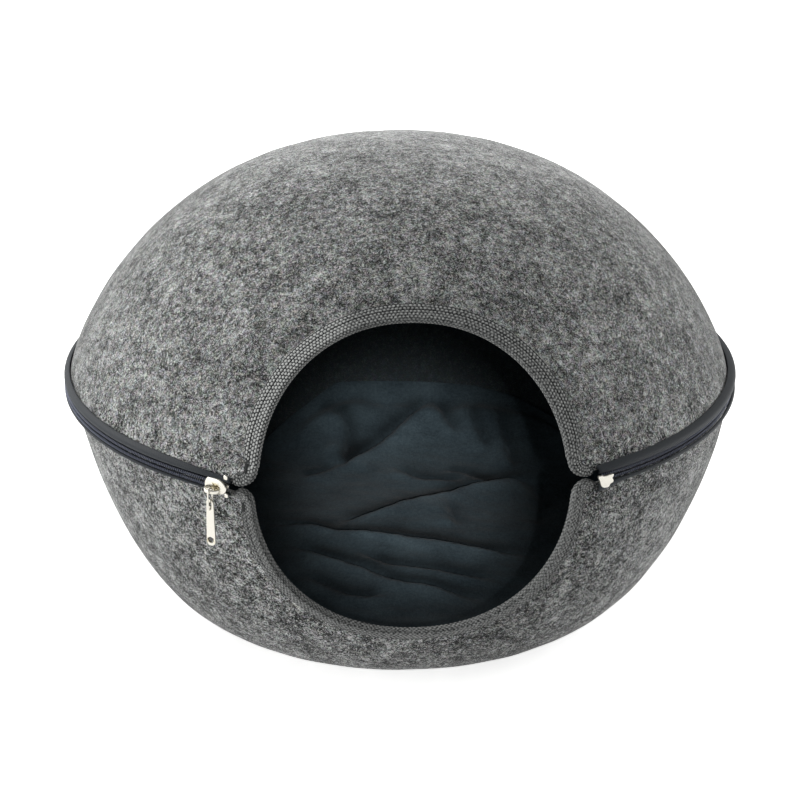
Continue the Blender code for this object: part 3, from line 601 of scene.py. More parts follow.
def binding(name, half, finish):
    """The U section along the cut line: outer leg, fold, inner leg and back underneath."""
    length = cut_line(half, BINDING_END)[3][-1]
    around, turn, rise, at = cut_line(half, BINDING_END, int(length / BINDING_STEP))
    edge, normal = wall_point(half, around, turn), wall_normal(half, around, turn)
    into = unit(half.up * np.cross(normal, np.gradient(edge, axis=0)))[:, None]
    edge, around, rise, at = edge[:, None], around[:, None], rise[:, None], at[:, None]
    knit = KNIT[half]
    spread = smooth_step((rise - half.edge - 6 * MM) / (20 * MM))
    stretch = smooth_step((rise - 40 * MM) / (45 * MM))
    leg = knit.at_zip + (knit.side - knit.at_zip) * spread + (knit.far - knit.side) * stretch

    skin, s = outer_skin(leg)
    v = skin[..., 0]
    loops = knit_loops(knit, at, s + 20 * knit.across)
    stitch = np.exp(-((s - STITCH_SHARE * leg) / STITCH) ** 2) * (leg > 6 * MM)
    seam = np.exp(-((leg - v - SEAM_IN) / SEAM) ** 2) * (v > 0)
    sunk = np.maximum(stitch, seam)
    tone = knit_tone_and_light(half, around, rise, v, s, loops, sunk)
    relief = knit.rise * (loops - 0.35 - 0.9 * sunk)
    down = np.gradient(skin, axis=1)
    skin = skin + relief[..., None] * unit(np.stack([down[..., 1], -down[..., 0]], -1))

    # the rest of the U: along the inner leg, back under it, and round the felt's edge
    back_share, under = np.linspace(0.0, 1.0, 6), np.array([1.0, 0.5, 0.0])
    inner_v = np.concatenate([back_share, under]) * (0.78 * leg)
    inner_h = np.concatenate([0 * back_share + BINDING_IN, 0 * under - FELT - SNUG])
    rest_v = np.concatenate([inner_v, 0 * leg - SNUG, 0 * leg - SNUG, 0 * leg, 0.6 * leg], 1)
    rest_h = np.concatenate([inner_h, [-FELT, 0.0, SNUG, SNUG]]) + 0 * leg
    v = np.concatenate([skin[..., 0], rest_v], 1)
    h = np.concatenate([skin[..., 1], rest_h], 1)
    start = edge + np.maximum(v, 0)[..., None] * into
    points = on_wall(half, start, h) + np.minimum(v, 0)[..., None] * into
    tone = np.concatenate([tone, 0 * rest_v + 0.3], 1)
    uv = np.stack([at + 0 * v, v + h], -1) / MM
    return tube(name, points, finish, uv, {"knit_light_and_shade": tone})


def knit_finish(name, dark_hex, light_hex):
    """Painted highlights on the loops, painted shade between them, from the number at each point.
    """
    made, tree, shader = material(name, Roughness=0.85, Sheen_Weight=0.15, Specular_IOR_Level=0.25)
    knit_light_and_shade = node(tree, "Attribute", attribute_name="knit_light_and_shade").outputs["Fac"]
    place = node(tree, "TexCoord").outputs["Object"]
    grain = node(tree, "TexNoise", {"Vector": place, "Scale": 900.0, "Detail": 3.0}).outputs[0]
    uneven = node(tree, "MapRange", {0: grain, 1: 0.3, 2: 0.7, 3: -0.25, 4: 0.25}).outputs[0]
    share = node(tree, "Math", {0: knit_light_and_shade, 1: uneven}, use_clamp=True).outputs[0]
    colour = node(tree, "Mix", {0: share, FIRST: linear(dark_hex), SECOND: linear(light_hex)},
                  data_type="RGBA")
    bump = node(tree, "Bump", {"Height": grain, "Distance": 0.2 * MM, "Strength": 0.5})
    tree.links.new(colour.outputs[MIXED], shader.inputs["Base Color"])
    tree.links.new(bump.outputs[0], shader.inputs["Normal"])
    return made


grey_knit = knit_finish("grey knit tape", "282a2a", "d0d2d0")
upper_binding = binding("upper_knit_binding", UPPER, grey_knit)
lower_binding = binding("lower_knit_binding", LOWER, grey_knit)

# %% [markdown]
# ## Zip tape
#
# A woven tape carries each row of the zip.  It lies on the felt at its far edge and stands
# proud beside the coil.  At the slider it eases inwards and is tucked a little narrower.

# %% Tape
CHAIN_RADIUS, CHAIN_DEPTH, CHAIN_HALF_HEIGHT = 200.4 * MM, 1.9 * MM, 2.6 * MM
TAPE, TAPE_LIP = 1.1 * MM, 0.9 * MM
TAPE_TOP = {UPPER: 6.8 * MM, LOWER: 5.9 * MM}     # the far edge, off the zip's middle
TAPE_TUCK = {UPPER: 1.6 * MM, LOWER: 0.6 * MM}     # it is this much narrower at the slider
TAPE_FLARE = {UPPER: -0.6 * MM, LOWER: 2.6 * MM}   # added at the end beside the block
TAPE_CREST, TAPE_SWAY, TAPE_CREST_AT_SLIDER = 201.3 * MM, 0.8 * MM, 200.2 * MM
TAPE_FROM, TAPE_TO, TAPE_STEPS = math.radians(29.9), TAU - math.radians(29.4), 720
SLIDER_ANGLE = math.radians(-31.5)
UP = np.array([0.0, 0.0, 1.0])


def soft_loop(corners, rounds=2):
    """Closed rows of corner points, each corner cut at its quarters, a few times.

    A corner with a near neighbour stays crisp.
    """
    for _ in range(rounds):
        ahead = np.roll(corners, -1, axis=-2)
        pair = np.stack([0.75 * corners + 0.25 * ahead, 0.25 * corners + 0.75 * ahead], -2)
        corners = pair.reshape(*corners.shape[:-2], -1, corners.shape[-1])
    return corners


def turned(radius, around, height):
    """Points at this distance from the cave's axis, angle from the front and height."""
    flat = radius * np.sin(around), -radius * np.cos(around)
    return np.stack(np.broadcast_arrays(*flat, height), -1)


def axes_at(around):
    """The level directions along the wall and out of it, at this angle from the front."""
    return (np.array([math.cos(around), math.sin(around), 0.0]),
            np.array([math.sin(around), -math.cos(around), 0.0]))


def round_wire(line, away, side, radius, sides):
    """line + radius * (away * cos a + side * sin a), for this many angles a."""
    ring = TAU * np.arange(sides)[:, None] / sides
    return line[:, None] + radius * (away[:, None] * np.cos(ring) + side * np.sin(ring))


def zip_tape(name, half, finish):
    """Radius and distance off the zip's middle of eight corners, softened, at each angle."""
    around = np.linspace(TAPE_FROM, TAPE_TO, TAPE_STEPS)[:, None]
    from_slider = np.abs(TAU + SLIDER_ANGLE - around)
    ease = smooth_step(from_slider / math.radians(7.0))
    proudest = TAPE_CREST + TAPE_SWAY * np.sin(around)
    crest = TAPE_CREST_AT_SLIDER + (proudest - TAPE_CREST_AT_SLIDER) * ease
    flare = TAPE_FLARE[half] * np.exp(-((around - TAPE_FROM) / math.radians(3.4)) ** 2)
    tuck = 1 - smooth_step(from_slider / math.radians(15.0))
    top = TAPE_TOP[half] - TAPE_TUCK[half] * tuck + flare
    turn = turn_at_rise(half, top)
    foot = wall_radius(half, turn) + lean_at(half, turn) * np.sin(around) + 0.3 * MM + WAVE * 0.3
    near = CHAIN_HALF_HEIGHT + 0.3 * MM
    bend, shoulder, lip = near + 0.8 * MM, top - 1.3 * MM, TAPE_LIP
    radius = (crest - lip, crest, crest - lip / 2, foot + TAPE, foot, crest - 0.7 * lip - TAPE,
              crest - lip / 4 - TAPE, crest - lip - TAPE)
    off = (near, bend, shoulder, top, top, shoulder, bend, near)
    off = [each + 0 * around for each in off]
    soft = soft_loop(np.stack([np.concatenate(radius, 1), np.concatenate(off, 1)], -1), 2)
    points = turned(soft[..., 0], around, SEAM_HEIGHT + half.up * soft[..., 1])
    across = length_so_far(soft)
    uv = np.stack([around * CHAIN_RADIUS + 0 * across, across], -1) / MM
    return tube(name, points, finish, uv)


def woven_finish(name, colour_hex, thread):
    """A fine diagonal weave from the piece's own cloth coordinates, in millimetres."""
    made, tree, shader = material(name, Base_Color=linear(colour_hex), Roughness=0.65,
                                  Sheen_Weight=0.05, Specular_IOR_Level=0.3)
    cloth = node(tree, "UVMap", uv_map="cloth").outputs[0]
    weave = node(tree, "TexWave", {"Vector": cloth, "Scale": 0.32 / thread, "Distortion": 0.6},
                 bands_direction="DIAGONAL").outputs[1]
    bump = node(tree, "Bump", {"Height": weave, "Distance": 0.12 * MM, "Strength": 0.6})
    tree.links.new(bump.outputs[0], shader.inputs["Normal"])
    return made


tape_weave = woven_finish("dark slate woven tape", "272c31", 0.7)
upper_tape = zip_tape("upper_zip_tape", UPPER, tape_weave)
lower_tape = zip_tape("lower_zip_tape", LOWER, tape_weave)

# %% [markdown]
# ## Nylon coil
#
# Each row of the zip is one long nylon filament wound into a flat coil, and the turns of
# the two rows lock between each other.  So each row is a real helix, bent round the cave,
# and the lower one is half a pitch ahead.

# %% Coil
BLOCK_ANGLE = math.radians(30.6)
COIL_PITCH, COIL_WIRE, COIL_GAP = 1.35 * MM, 0.34 * MM, 0.15 * MM
COIL_POINTS, COIL_SIDES = 10, 5


def coil(name, half, finish):
    """A helix: radius = R + a cos t, height off the zip's middle = h + b sin t."""
    start, end = BLOCK_ANGLE, TAU + SLIDER_ANGLE
    turns = int((end - start) * CHAIN_RADIUS / COIL_PITCH)
    t = np.linspace(0.0, TAU * turns, turns * COIL_POINTS + 1)
    t = t + (0.0 if half is UPPER else math.pi)
    around = start + (end - start) * np.linspace(0.0, 1.0, len(t))
    half_depth = CHAIN_DEPTH / 2 - COIL_WIRE
    half_tall = (CHAIN_HALF_HEIGHT - COIL_GAP) / 2 - COIL_WIRE
    middle = (CHAIN_HALF_HEIGHT + COIL_GAP) / 2
    radius = CHAIN_RADIUS - CHAIN_DEPTH / 2 + half_depth * np.cos(t)
    line = turned(radius, around, SEAM_HEIGHT + half.up * (middle + half_tall * np.sin(t)))
    ahead = unit(np.gradient(line, axis=0))
    side = unit(np.cross(ahead, turned(np.cos(t), around, half.up * np.sin(t))))
    points = round_wire(line, np.cross(side, ahead), side[:, None], COIL_WIRE, COIL_SIDES)
    ring = TAU * np.arange(COIL_SIDES) / COIL_SIDES
    # painted highlight on the outward side of each turn, where it stands out
    painted_light = smooth_step(np.cos(t)[:, None] * 1.4 - 0.3) * smooth_step(np.cos(ring) * 1.2 + 0.1)
    return tube(name, points, finish, values={"painted_light": painted_light})


def nylon_finish(name, dark_hex, light_hex):
    """Painted highlight where a turn stands out, and the nylon's dark colour where the turns lock.
    """
    made, tree, shader = material(name, Roughness=0.4)
    painted_light = node(tree, "Attribute", attribute_name="painted_light").outputs["Fac"]
    colour = node(tree, "Mix", {0: painted_light, FIRST: linear(dark_hex), SECOND: linear(light_hex)},
                  data_type="RGBA")
    tree.links.new(colour.outputs[MIXED], shader.inputs["Base Color"])
    return made


nylon = nylon_finish("dark blue-grey nylon", "14161f", "6c7388")
upper_coil = coil("upper_zip_coil", UPPER, nylon)
lower_coil = coil("lower_zip_coil", LOWER, nylon)

# %% [markdown]
# ## Slider, pull, stops and end block
#
# The metal parts are cast, tumbled smooth and nickel plated, so every edge is round and the
# faces are softly domed.  Each is a plate with a drawn outline; the slider also gets a back
# plate, a post and a bridge, fused on by Booleans that are applied at once.

# %% Metal
brown_reflection, tree, shader = material("nickel worn to the brass", Roughness=0.3, Metallic=1.0)
# painted reflection: mottled spots about 0.8 mm across, from dark brown to light cream, for the
# brown that the slider's middle and the pull's hole reflect
place = node(tree, "TexCoord").outputs["Object"]
spots = node(tree, "TexNoise", {"Vector": place, "Scale": 1200.0, "Detail": 2.0}).outputs[0]
reflection_mottle = node(tree, "MapRange", {0: spots, 1: 0.38, 2: 0.66}).outputs[0]
brass = node(tree, "Mix", {0: reflection_mottle, FIRST: linear("4a3c22"), SECOND: linear("e6dcbc")},
             data_type="RGBA")
tree.links.new(brass.outputs[MIXED], shader.inputs["Base Color"])
nickel, _, _ = material("bright nickel plate", Base_Color=linear("cbc8bf"), Roughness=0.26,
                        Metallic=1.0)


def closed_outline(corners, count=72, rounds=3):
    """Evenly spaced points on a softened closed outline."""
    soft = soft_loop(np.array(corners, float), rounds)
    soft = np.concatenate([soft, soft[:1]])
    length = length_so_far(soft)
    at = np.linspace(0.0, length[-1], count + 1)[:-1]
    return np.stack([np.interp(at, length, soft[:, k]) for k in (0, 1)], -1)


def plate(name, outline, back, front, around, height, round_off=0.4 * MM, dome=0.25 * MM):
    """An outline (along, up) between two radii, edges rounded and the front domed."""
    ahead = unit(np.roll(outline, -1, 0) - np.roll(outline, 1, 0))
    inward = np.stack([-ahead[:, 1], ahead[:, 0]], -1)
    (x, y), (next_x, next_y) = outline.T, np.roll(outline, -1, 0).T
    inward *= np.sign((x * next_y - next_x * y).sum())
    bend = np.radians(np.linspace(0, 90, 6))
    inset = np.concatenate([round_off * (1 - np.sin(bend)), round_off * (1 - np.cos(bend))])
    depth = np.concatenate([back + round_off * (1 - np.cos(bend)),
                            front - dome - round_off * (1 - np.sin(bend))])
    rows = [(outline + i * inward, d) for i, d in zip(inset, depth)]
    centre, edge = outline.mean(0), rows[-1][0]
    for share in (0.75, 0.5, 0.25):
        rows.append((centre + (edge - centre) * share, front - dome * share ** 2))
    along, _ = axes_at(around)
    sections = np.stack([turned(d, around, height) + line[:, :1] * along + line[:, 1:] * UP
                         for line, d in rows])
    return tube(name, sections, nickel)


def paint_brown_reflection(target, half_length, half_height, around, height):
    """Give the faces within an oval at this angle and height the brown painted reflection."""
    target.data.materials.append(brown_reflection)
    sideways, _ = axes_at(around)
    for face in target.data.polygons:
        along, up = float(np.array(face.center) @ sideways), face.center.z - height
        if (along / half_length) ** 2 + (up / half_height) ** 2 < 1:
            face.material_index = 1


def apply_all(target):
    """Put the object's modifiers into its mesh."""
    evaluated = target.evaluated_get(bpy.context.evaluated_depsgraph_get())
    target.data = bpy.data.meshes.new_from_object(evaluated)
    target.modifiers.clear()
    target.data.shade_smooth()
    target.data.set_sharp_from_angle(angle=math.radians(50))


def fuse(target, tool, operation="UNION"):
    """Add the tool to the target, or cut it away, and remove the tool."""
    modifier = target.modifiers.new("fuse", "BOOLEAN")
    modifier.operation, modifier.solver, modifier.object = operation, "EXACT", tool
    apply_all(target)
    bpy.data.objects.remove(tool, do_unlink=True)


def oval(half_length, half_height, squareness=2.0, count=48):
    """|along / half length| ^ n + |up / half height| ^ n = 1."""
    along, up = powered(TAU * np.arange(count) / count, 2 / squareness)
    return np.stack([half_length * along, half_height * up], -1)


sag_here = SAG * math.exp(-((SLIDER_ANGLE - SAG_ANGLE) / SAG_WIDTH) ** 2)
# the front plate's outline, as shares of its half length and half height
SHIELD = ((-1.12, -0.3), (-0.98, -0.74), (-0.35, -0.92), (0.2, -0.95), (0.6, -0.74),
          (0.98, -0.28), (1.0, 0.3), (0.62, 0.85), (0.25, 1.0), (-0.45, 0.96), (-0.86, 0.88),
          (-1.12, 0.32))
SLIDER_HALF, SLIDER_THICK = (6.4 * MM, 4.8 * MM), 1.4 * MM
slider_front = CHAIN_RADIUS + 0.5 * MM + SLIDER_THICK
slider = plate("zip_slider_cast", closed_outline(np.array(SHIELD) * SLIDER_HALF),
               slider_front - SLIDER_THICK, slider_front, SLIDER_ANGLE, SEAM_HEIGHT,
               0.45 * MM, 0.3 * MM)
behind = CHAIN_RADIUS - CHAIN_DEPTH - 0.3 * MM
fuse(slider, plate("slider_back", oval(5.4 * MM, 1.5 * MM, 4.0), behind - 1.6 * MM, behind,
                   SLIDER_ANGLE, SEAM_HEIGHT, 0.3 * MM, 0.1 * MM))
fuse(slider, plate("slider_post", oval(1.6 * MM, 1.3 * MM), behind - 0.6 * MM,
                   slider_front - 0.8 * MM, SLIDER_ANGLE + 3.4 * MM / CHAIN_RADIUS, SEAM_HEIGHT,
                   0.1 * MM, 0.05 * MM))


def bridge():
    """A flat strap bent up off the front plate and back down to it, with rounded sides."""
    bend = np.linspace(0.0, math.pi, 33)[:, None]
    section = oval(0.6 * MM, 1.1 * MM, 3.4, 20)
    along, out = axes_at(SLIDER_ANGLE)
    radial = np.sin(bend) * out - np.cos(bend) * along
    foot = (slider_front - 0.5 * MM) * out - 2.2 * MM * along + (SEAM_HEIGHT - 1.8 * MM) * UP
    line = foot + 4.2 * MM * radial
    points = line[:, None] + section[:, :1] * radial[:, None] + section[:, 1:] * UP
    return tube("slider_bridge", points, nickel)


# the slider's middle gets the brown painted reflection
paint_brown_reflection(slider, 2.9 * MM, 2.5 * MM, SLIDER_ANGLE, SEAM_HEIGHT - sag_here)
fuse(slider, bridge())

PULL_ANGLE, PULL_RADIUS, PULL_LENGTH = math.radians(-31.9), 205.6 * MM, 28.6 * MM
PULL_TOP, PULL_END, PULL_THICK = 2.2 * MM, 2.8 * MM, 1.5 * MM
pull_height = SEAM_HEIGHT - 6.0 * MM
PULL_HOLE, HOLE_DROP = 1.8 * MM, PULL_LENGTH - 3.6 * MM
PULL_EYE, EYE_DROP = 1.2 * MM, 3.0 * MM
LINK_POINTS, LINK_SIDES, LINK_WIRE = 96, 10, 0.5 * MM


def pull_link():
    """A wire bent to a long ring, hanging in the radial plane."""
    line = closed_outline(oval(2.1 * MM, 6.25 * MM, 4.0, LINK_POINTS), LINK_POINTS, 1)
    ahead = unit(np.roll(line, -1, 0) - np.roll(line, 1, 0))
    along, out = axes_at(PULL_ANGLE)
    away = out * ahead[:, 1:] - UP * ahead[:, :1]
    middle = turned(PULL_RADIUS, PULL_ANGLE, SEAM_HEIGHT - 6.15 * MM)
    line = middle + line[:, :1] * out + line[:, 1:] * UP
    points = round_wire(line, away, along, LINK_WIRE, LINK_SIDES)
    quads = grid_quads(LINK_POINTS, LINK_SIDES, wrap_rows=True, wrap_columns=True)
    return mesh_piece("zip_pull_link_wire", points, quads, nickel, middle=middle)


def zip_pull():
    """A tapered tongue with round ends, an eye at the top and a hole near its lower end."""
    low = np.radians(np.linspace(0, -180, 33))
    top = np.radians(np.linspace(180, 0, 25))
    outline = np.concatenate([
        np.stack([PULL_END * np.cos(low), PULL_END - PULL_LENGTH + PULL_END * np.sin(low)], -1),
        np.stack([PULL_TOP * np.cos(top), -PULL_TOP + PULL_TOP * np.sin(top)], -1)])
    made = plate("zip_pull_tongue", closed_outline(outline, 120, 1), PULL_RADIUS - PULL_THICK / 2,
                 PULL_RADIUS + PULL_THICK / 2, PULL_ANGLE, pull_height, 0.35 * MM, 0.05 * MM)
    for drop, hole in ((EYE_DROP, PULL_EYE), (HOLE_DROP, PULL_HOLE)):
        fuse(made, plate("pull_hole", oval(hole, hole), PULL_RADIUS - 3 * MM, PULL_RADIUS + 3 * MM,
                         PULL_ANGLE, pull_height - drop, 0.1 * MM, 0.0), "DIFFERENCE")
    return made


link, pull = pull_link(), zip_pull()
# and so does the ring round the pull's lower hole
paint_brown_reflection(pull, 2.1 * MM, 2.1 * MM, PULL_ANGLE, pull_height - HOLE_DROP)
stop_front = TAPE_CREST_AT_SLIDER + 0.3 * MM
upper_stop, lower_stop = (
    plate(name, oval(1.2 * MM, 1.35 * MM, 3.2, 32), stop_front, stop_front + 1.1 * MM,
          math.radians(-29.85), SEAM_HEIGHT + side * 5.2 * MM + sag_here, 0.35 * MM, 0.1 * MM)
    for name, side in (("upper_zip_stop", 1), ("lower_zip_stop", -1)))
# the end block's outline, in the same way
HORNS = ((-1.0, 0.56), (-0.96, 1.0), (-0.12, 0.68), (0.6, 0.78), (0.96, 0.66), (0.98, 0.4),
         (0.78, 0.2), (1.0, -0.17), (0.94, -0.47), (0.54, -0.54), (0.42, -1.0), (-0.36, -0.88),
         (-0.66, -0.49), (-0.76, 0.05))
BLOCK_HALF, BLOCK_THICK = (5.1 * MM, 4.25 * MM), 2.0 * MM
block_back = TAPE_CREST + TAPE_SWAY * math.sin(BLOCK_ANGLE) + 0.3 * MM
end_block = plate("zip_end_clamp", closed_outline(np.array(HORNS) * BLOCK_HALF, 96, 1), block_back,
                  block_back + BLOCK_THICK, BLOCK_ANGLE, SEAM_HEIGHT - 0.7 * MM, 0.35 * MM,
                  0.2 * MM)

# %% [markdown]
# ## Plush mat
#
# The mat is short-pile plush sewn round a thin fill.  It lies loose on the base and laps up
# the wall, so it rucks up in creases.  It starts as a closed pad, a little smaller than its
# space; a short cloth simulation with air pressure inside swells it, as its fill does.  The
# creases come after that, from a table of lines read off in plan, because a pressure
# simulation would not put them where the picture shows them.

# %% Mat shape
MAT_UNDER, MAT_THICK = FELT + 0.6 * MM, 25 * MM
MAT_CELLS, MAT_SPARE = 74, 1.6 * MM      # squares across the pad, and what the air will add
# degrees from the front, height in mm
MAT_RIM = ((0, 36), (50, 36), (100, 41), (135, 52), (150, 61), (160, 64), (180, 64), (192, 65),
           (200, 54), (215, 36), (260, 32), (320, 34), (360, 36))
RIM_SPARE = 5 * MM                    # the pad's edge is made this much higher and rounds off


def rim_height(around):
    """The rim's height over the base at these angles, straight between the table's rows."""
    degrees, heights = zip(*MAT_RIM)
    return np.interp(np.degrees(np.mod(around, TAU)), degrees, heights) * MM


def mat_reach(around):
    """Radius at which the mat's rim stands, 2.5 mm off the wall."""
    turn = turn_at_rise(LOWER, SEAM_HEIGHT - rim_height(around))
    return wall_radius(LOWER, turn) - MAT_UNDER - 2.5 * MM


def mat_top(x, y):
    """A crown over the floor, 3 mm * cos(0.8 pi r), that climbs the wall as r^2.2 outside 0.42."""
    around = np.arctan2(x, -y)
    r = np.hypot(x, y) / mat_reach(around)
    climb = np.clip((r - 0.42) / 0.58, 0.0, 1.0) ** 2.2
    floor = MAT_UNDER + MAT_THICK + 3 * MM * np.cos(r * math.pi * 0.8)
    return floor + (rim_height(around) - floor) * climb


def mat_pad(cells, shrink):
    """Top and underside as square grids bent to a disc and closed round the rim."""
    line = np.linspace(-1.0, 1.0, cells + 1)
    across, back = np.meshgrid(line, line)
    x, y = across * np.sqrt(1 - back ** 2 / 2), back * np.sqrt(1 - across ** 2 / 2)
    share, around = np.clip(np.hypot(x, y), 0.0, 1.0), np.arctan2(x, -y)
    reach = mat_reach(around) * share
    x, y = reach * np.sin(around), -reach * np.cos(around)
    spare = RIM_SPARE * np.clip((share - 0.8) / 0.2, 0.0, 1.0) ** 2
    top = np.stack([x, y, mat_top(x, y) - shrink + spare], -1)
    rim_turn = turn_at_rise(LOWER, SEAM_HEIGHT - rim_height(around) - RIM_SPARE + 7 * MM)
    up_wall = np.clip((share - 0.6) / 0.4, 0.0, 1.0)
    wall = wall_point(LOWER, around, 1 - up_wall * (1 - rim_turn), -MAT_UNDER - shrink)
    radius = LOWER.pole * share / 0.6
    flat = np.stack([radius * np.sin(around), -radius * np.cos(around),
                     0 * radius + MAT_UNDER + shrink], -1)
    under = np.where((share < 0.6)[..., None], flat, wall)
    count = cells + 1
    number = np.arange(count * count).reshape(count, count)
    rim = np.concatenate([number[0, :-1], number[:-1, -1], number[-1, :0:-1], number[:0:-1, 0]])
    side = np.stack([rim + count ** 2, np.roll(rim, -1) + count ** 2, np.roll(rim, -1), rim], -1)
    above = grid_quads(count, count)
    quads = np.concatenate([above, above[:, ::-1] + count ** 2, side])
    return np.concatenate([top.reshape(-1, 3), under.reshape(-1, 3)]), quads


def swell(pad, pressure, cap):
    """20 frames of cloth with air pressure inside, each point kept within cap of its start."""
    rest = mesh_points(pad)
    cloth = pad.modifiers.new("air", "CLOTH")
    cloth.settings.use_pressure = True
    cloth.settings.uniform_pressure_force = pressure
    cloth.settings.effector_weights.gravity = 0.0
    for frame_number in range(1, 21):
        bpy.context.scene.frame_set(frame_number)
    apply_all(pad)
    move = mesh_points(pad) - rest
    far = np.linalg.norm(move, axis=1, keepdims=True)
    set_points(pad, rest + move * np.minimum(1.0, cap / np.maximum(far, 1e-9)))
    bpy.context.scene.frame_set(1)
    print("the pad swelled by up to", round(float(far.max() / MM), 1), "mm, kept within", cap / MM)


def mesh_points(target):
    """The mesh's points as one array."""
    points = np.empty(len(target.data.vertices) * 3, np.float32)
    target.data.vertices.foreach_get("co", points)
    return points.reshape(-1, 3).astype(float)


def set_points(target, points):
    """The array back into the mesh."""
    target.data.vertices.foreach_set("co", points.astype(np.float32).ravel())
    target.data.update()


# %% [markdown]
# ### The mat's creases
#
# Each crease is a smooth line through a few plan points.  The plush is pushed up on one side
# of it, drops steeply at the line, and lies low again on the other side.  A few soft ridges
# and dents have no steep side.

# %% Mat creases
Crease = namedtuple("Crease", "line crest slope dip")
# line: plan points in mm, +Y to the back, walked so that the crest lies on the right hand;
# crest: height beside the line; slope: the distance over which it dies away; dip: depth of
# the narrow trough at the line
CREASES = (
    Crease(((-38, 90), (-26, 103), (-4, 124), (16, 145), (33, 157)), 4.4, 22, 1.8),
    Crease(((-60, 80), (-45, 86), (-36, 97)), 2.5, 10, 1.5),
    Crease(((-33, 92), (-29, 122), (-30, 138), (-40, 152)), -3.6, 14, 1.4),
    Crease(((-42, 8), (-24, 11), (2, 28), (28, 41), (49, 56), (75, 65), (94, 58)), 6.2, 30, 1.8),
    Crease(((-4, 92), (14, 75), (33, 69), (46, 66)), 3.0, 9, 1.5),
    Crease(((31, 83), (44, 80), (54, 71), (66, 66)), 2.5, 8, 1.5),
    Crease(((-84, 9), (-55, 0), (-31, -14), (0, -22), (24, -29), (54, -38), (88, -44)),
           6.2, 24, 2.2),
    Crease(((-74, -20), (-50, -40), (-23, -61), (-3, -79), (20, -87), (52, -107)), 5.0, 20, 2.2),
    Crease(((-32, -36), (-11, -53), (10, -62), (31, -68), (64, -82)), 3.6, 12, 1.8),
    Crease(((-62, -64), (-41, -86), (-27, -94), (-10, -95)), 3.0, 12, 1.6),
    Crease(((33, 158), (36, 143), (46, 122)), 2.8, 8, 1.5),
    Crease(((54, 150), (57, 128), (65, 102)), 3.2, 8, 1.5),
    Crease(((70, 148), (76, 110), (80, 78)), 3.0, 14, 1.5),
    Crease(((32, 29), (33, 12), (36, -7)), 2.0, 12, 1.0),
    Crease(((-47, 159), (-42, 150), (-36, 139)), 2.0, 8, 1.0),
)
Ridge = namedtuple("Ridge", "line height width")
# the same line; height, negative for a dent; half width
RIDGES = (
    Ridge(((80, 70), (94, 50), (92, 22), (80, 0)), -3.0, 7.0),
    Ridge(((12, 146), (6, 152), (-12, 153)), 2.5, 7.0),
    Ridge(((-42, 118), (-36, 106), (-36, 98)), 1.5, 4.0),
)


def smooth_line(corners, count=60):
    """A cubic through the corners, its ends continued straight (Catmull-Rom)."""
    p = np.array(corners, float)
    p = np.concatenate([[2 * p[0] - p[1]], p, [2 * p[-1] - p[-2]]])
    t = np.linspace(0, len(corners) - 1 - 1e-9, count)
    k, f = t.astype(int), (t % 1.0)[:, None]
    a, b, c, d = p[k], p[k + 1], p[k + 2], p[k + 3]
    return 0.5 * (2 * b + (c - a) * f + (2 * a - 5 * b + 4 * c - d) * f ** 2
                  + (3 * b - a - 3 * c + d) * f ** 3)


def beside(plan, corners):
    """How each plan point lies beside the line through these corners.

    Distance to the line, signed (right hand +) and plain; how far the line runs across the
    cave, from 0 to 1; and a fade at the line's ends.
    """
    line = smooth_line(corners)
    away = plan[:, None] - line
    distance = np.linalg.norm(away, axis=-1)
    nearest, near = distance.argmin(1), distance.min(1)
    ahead = np.gradient(line, axis=0)[nearest]
    offset = away[np.arange(len(near)), nearest]
    cross = ahead[:, 1] * offset[:, 0] - ahead[:, 0] * offset[:, 1]
    sine = cross / np.maximum(near * np.linalg.norm(ahead, axis=1), 1e-9)
    share = nearest / (len(line) - 1)
    fade = smooth_step(share / 0.22) * smooth_step((1 - share) / 0.22)
    across = np.abs(ahead[:, 0]) / np.linalg.norm(ahead, axis=1)
    return (near * np.clip(sine * 1.5, -1, 1), near, across,
            fade * np.clip(np.abs(sine) * 2 - 0.2, 0, 1))


def crease_relief(x, y):
    """Crest * step(d) * e^-(d/slope)^1.4 - dip * e^-(d/2.4)^2 per crease, bells for the ridges.

    The second answer is painted shade and light for the pile: below 1 in and behind a crease,
    above 1 on a crest, and darker towards the front.
    """
    plan = np.stack([x, y], -1) / MM
    relief, shade = np.zeros_like(x), np.ones_like(x)
    for crease in CREASES:
        signed, near, across, fade = beside(plan, crease.line)
        signed = signed * np.sign(crease.crest)
        high = abs(crease.crest)
        crest = np.exp(-(np.maximum(signed, 0) / crease.slope) ** 1.4)
        crest = smooth_step((signed + 3.0) / 9.0) * crest
        trough = np.exp(-((signed + 1.5) / 2.4) ** 2) * (near < 12)
        relief += fade * (high * crest - crease.dip * trough)
        # a crest hides what lies close behind it, so the painted crease shade reaches out past
        # that; painted light lies on the crest
        behind = signed + 1.5 + 1.1 * high * across
        painted_crease_shade = 0.27 * crease.dip * np.exp(-(behind / 5.0) ** 2) * (near < 28)
        painted_wide_shade = 0.05 * high * np.exp(-((behind + 5.0) / 9.0) ** 2)
        lit = 0.05 * high * np.exp(-((signed - 8.0) / 8.0) ** 2)
        shade += fade * (lit - painted_crease_shade - painted_wide_shade)
    for ridge in RIDGES:
        _, near, _, fade = beside(plan, ridge.line)
        bell = fade * ridge.height * np.exp(-(near / ridge.width) ** 2)
        relief += bell
        # painted light on a ridge, painted shade in a dent
        shade += 0.08 * bell
    shade *= 1 - 0.16 * smooth_step((-y / MM - 60) / 50)        # painted shade, darker towards the front
    return relief * MM, np.clip(shade, 0.15, 1.8)


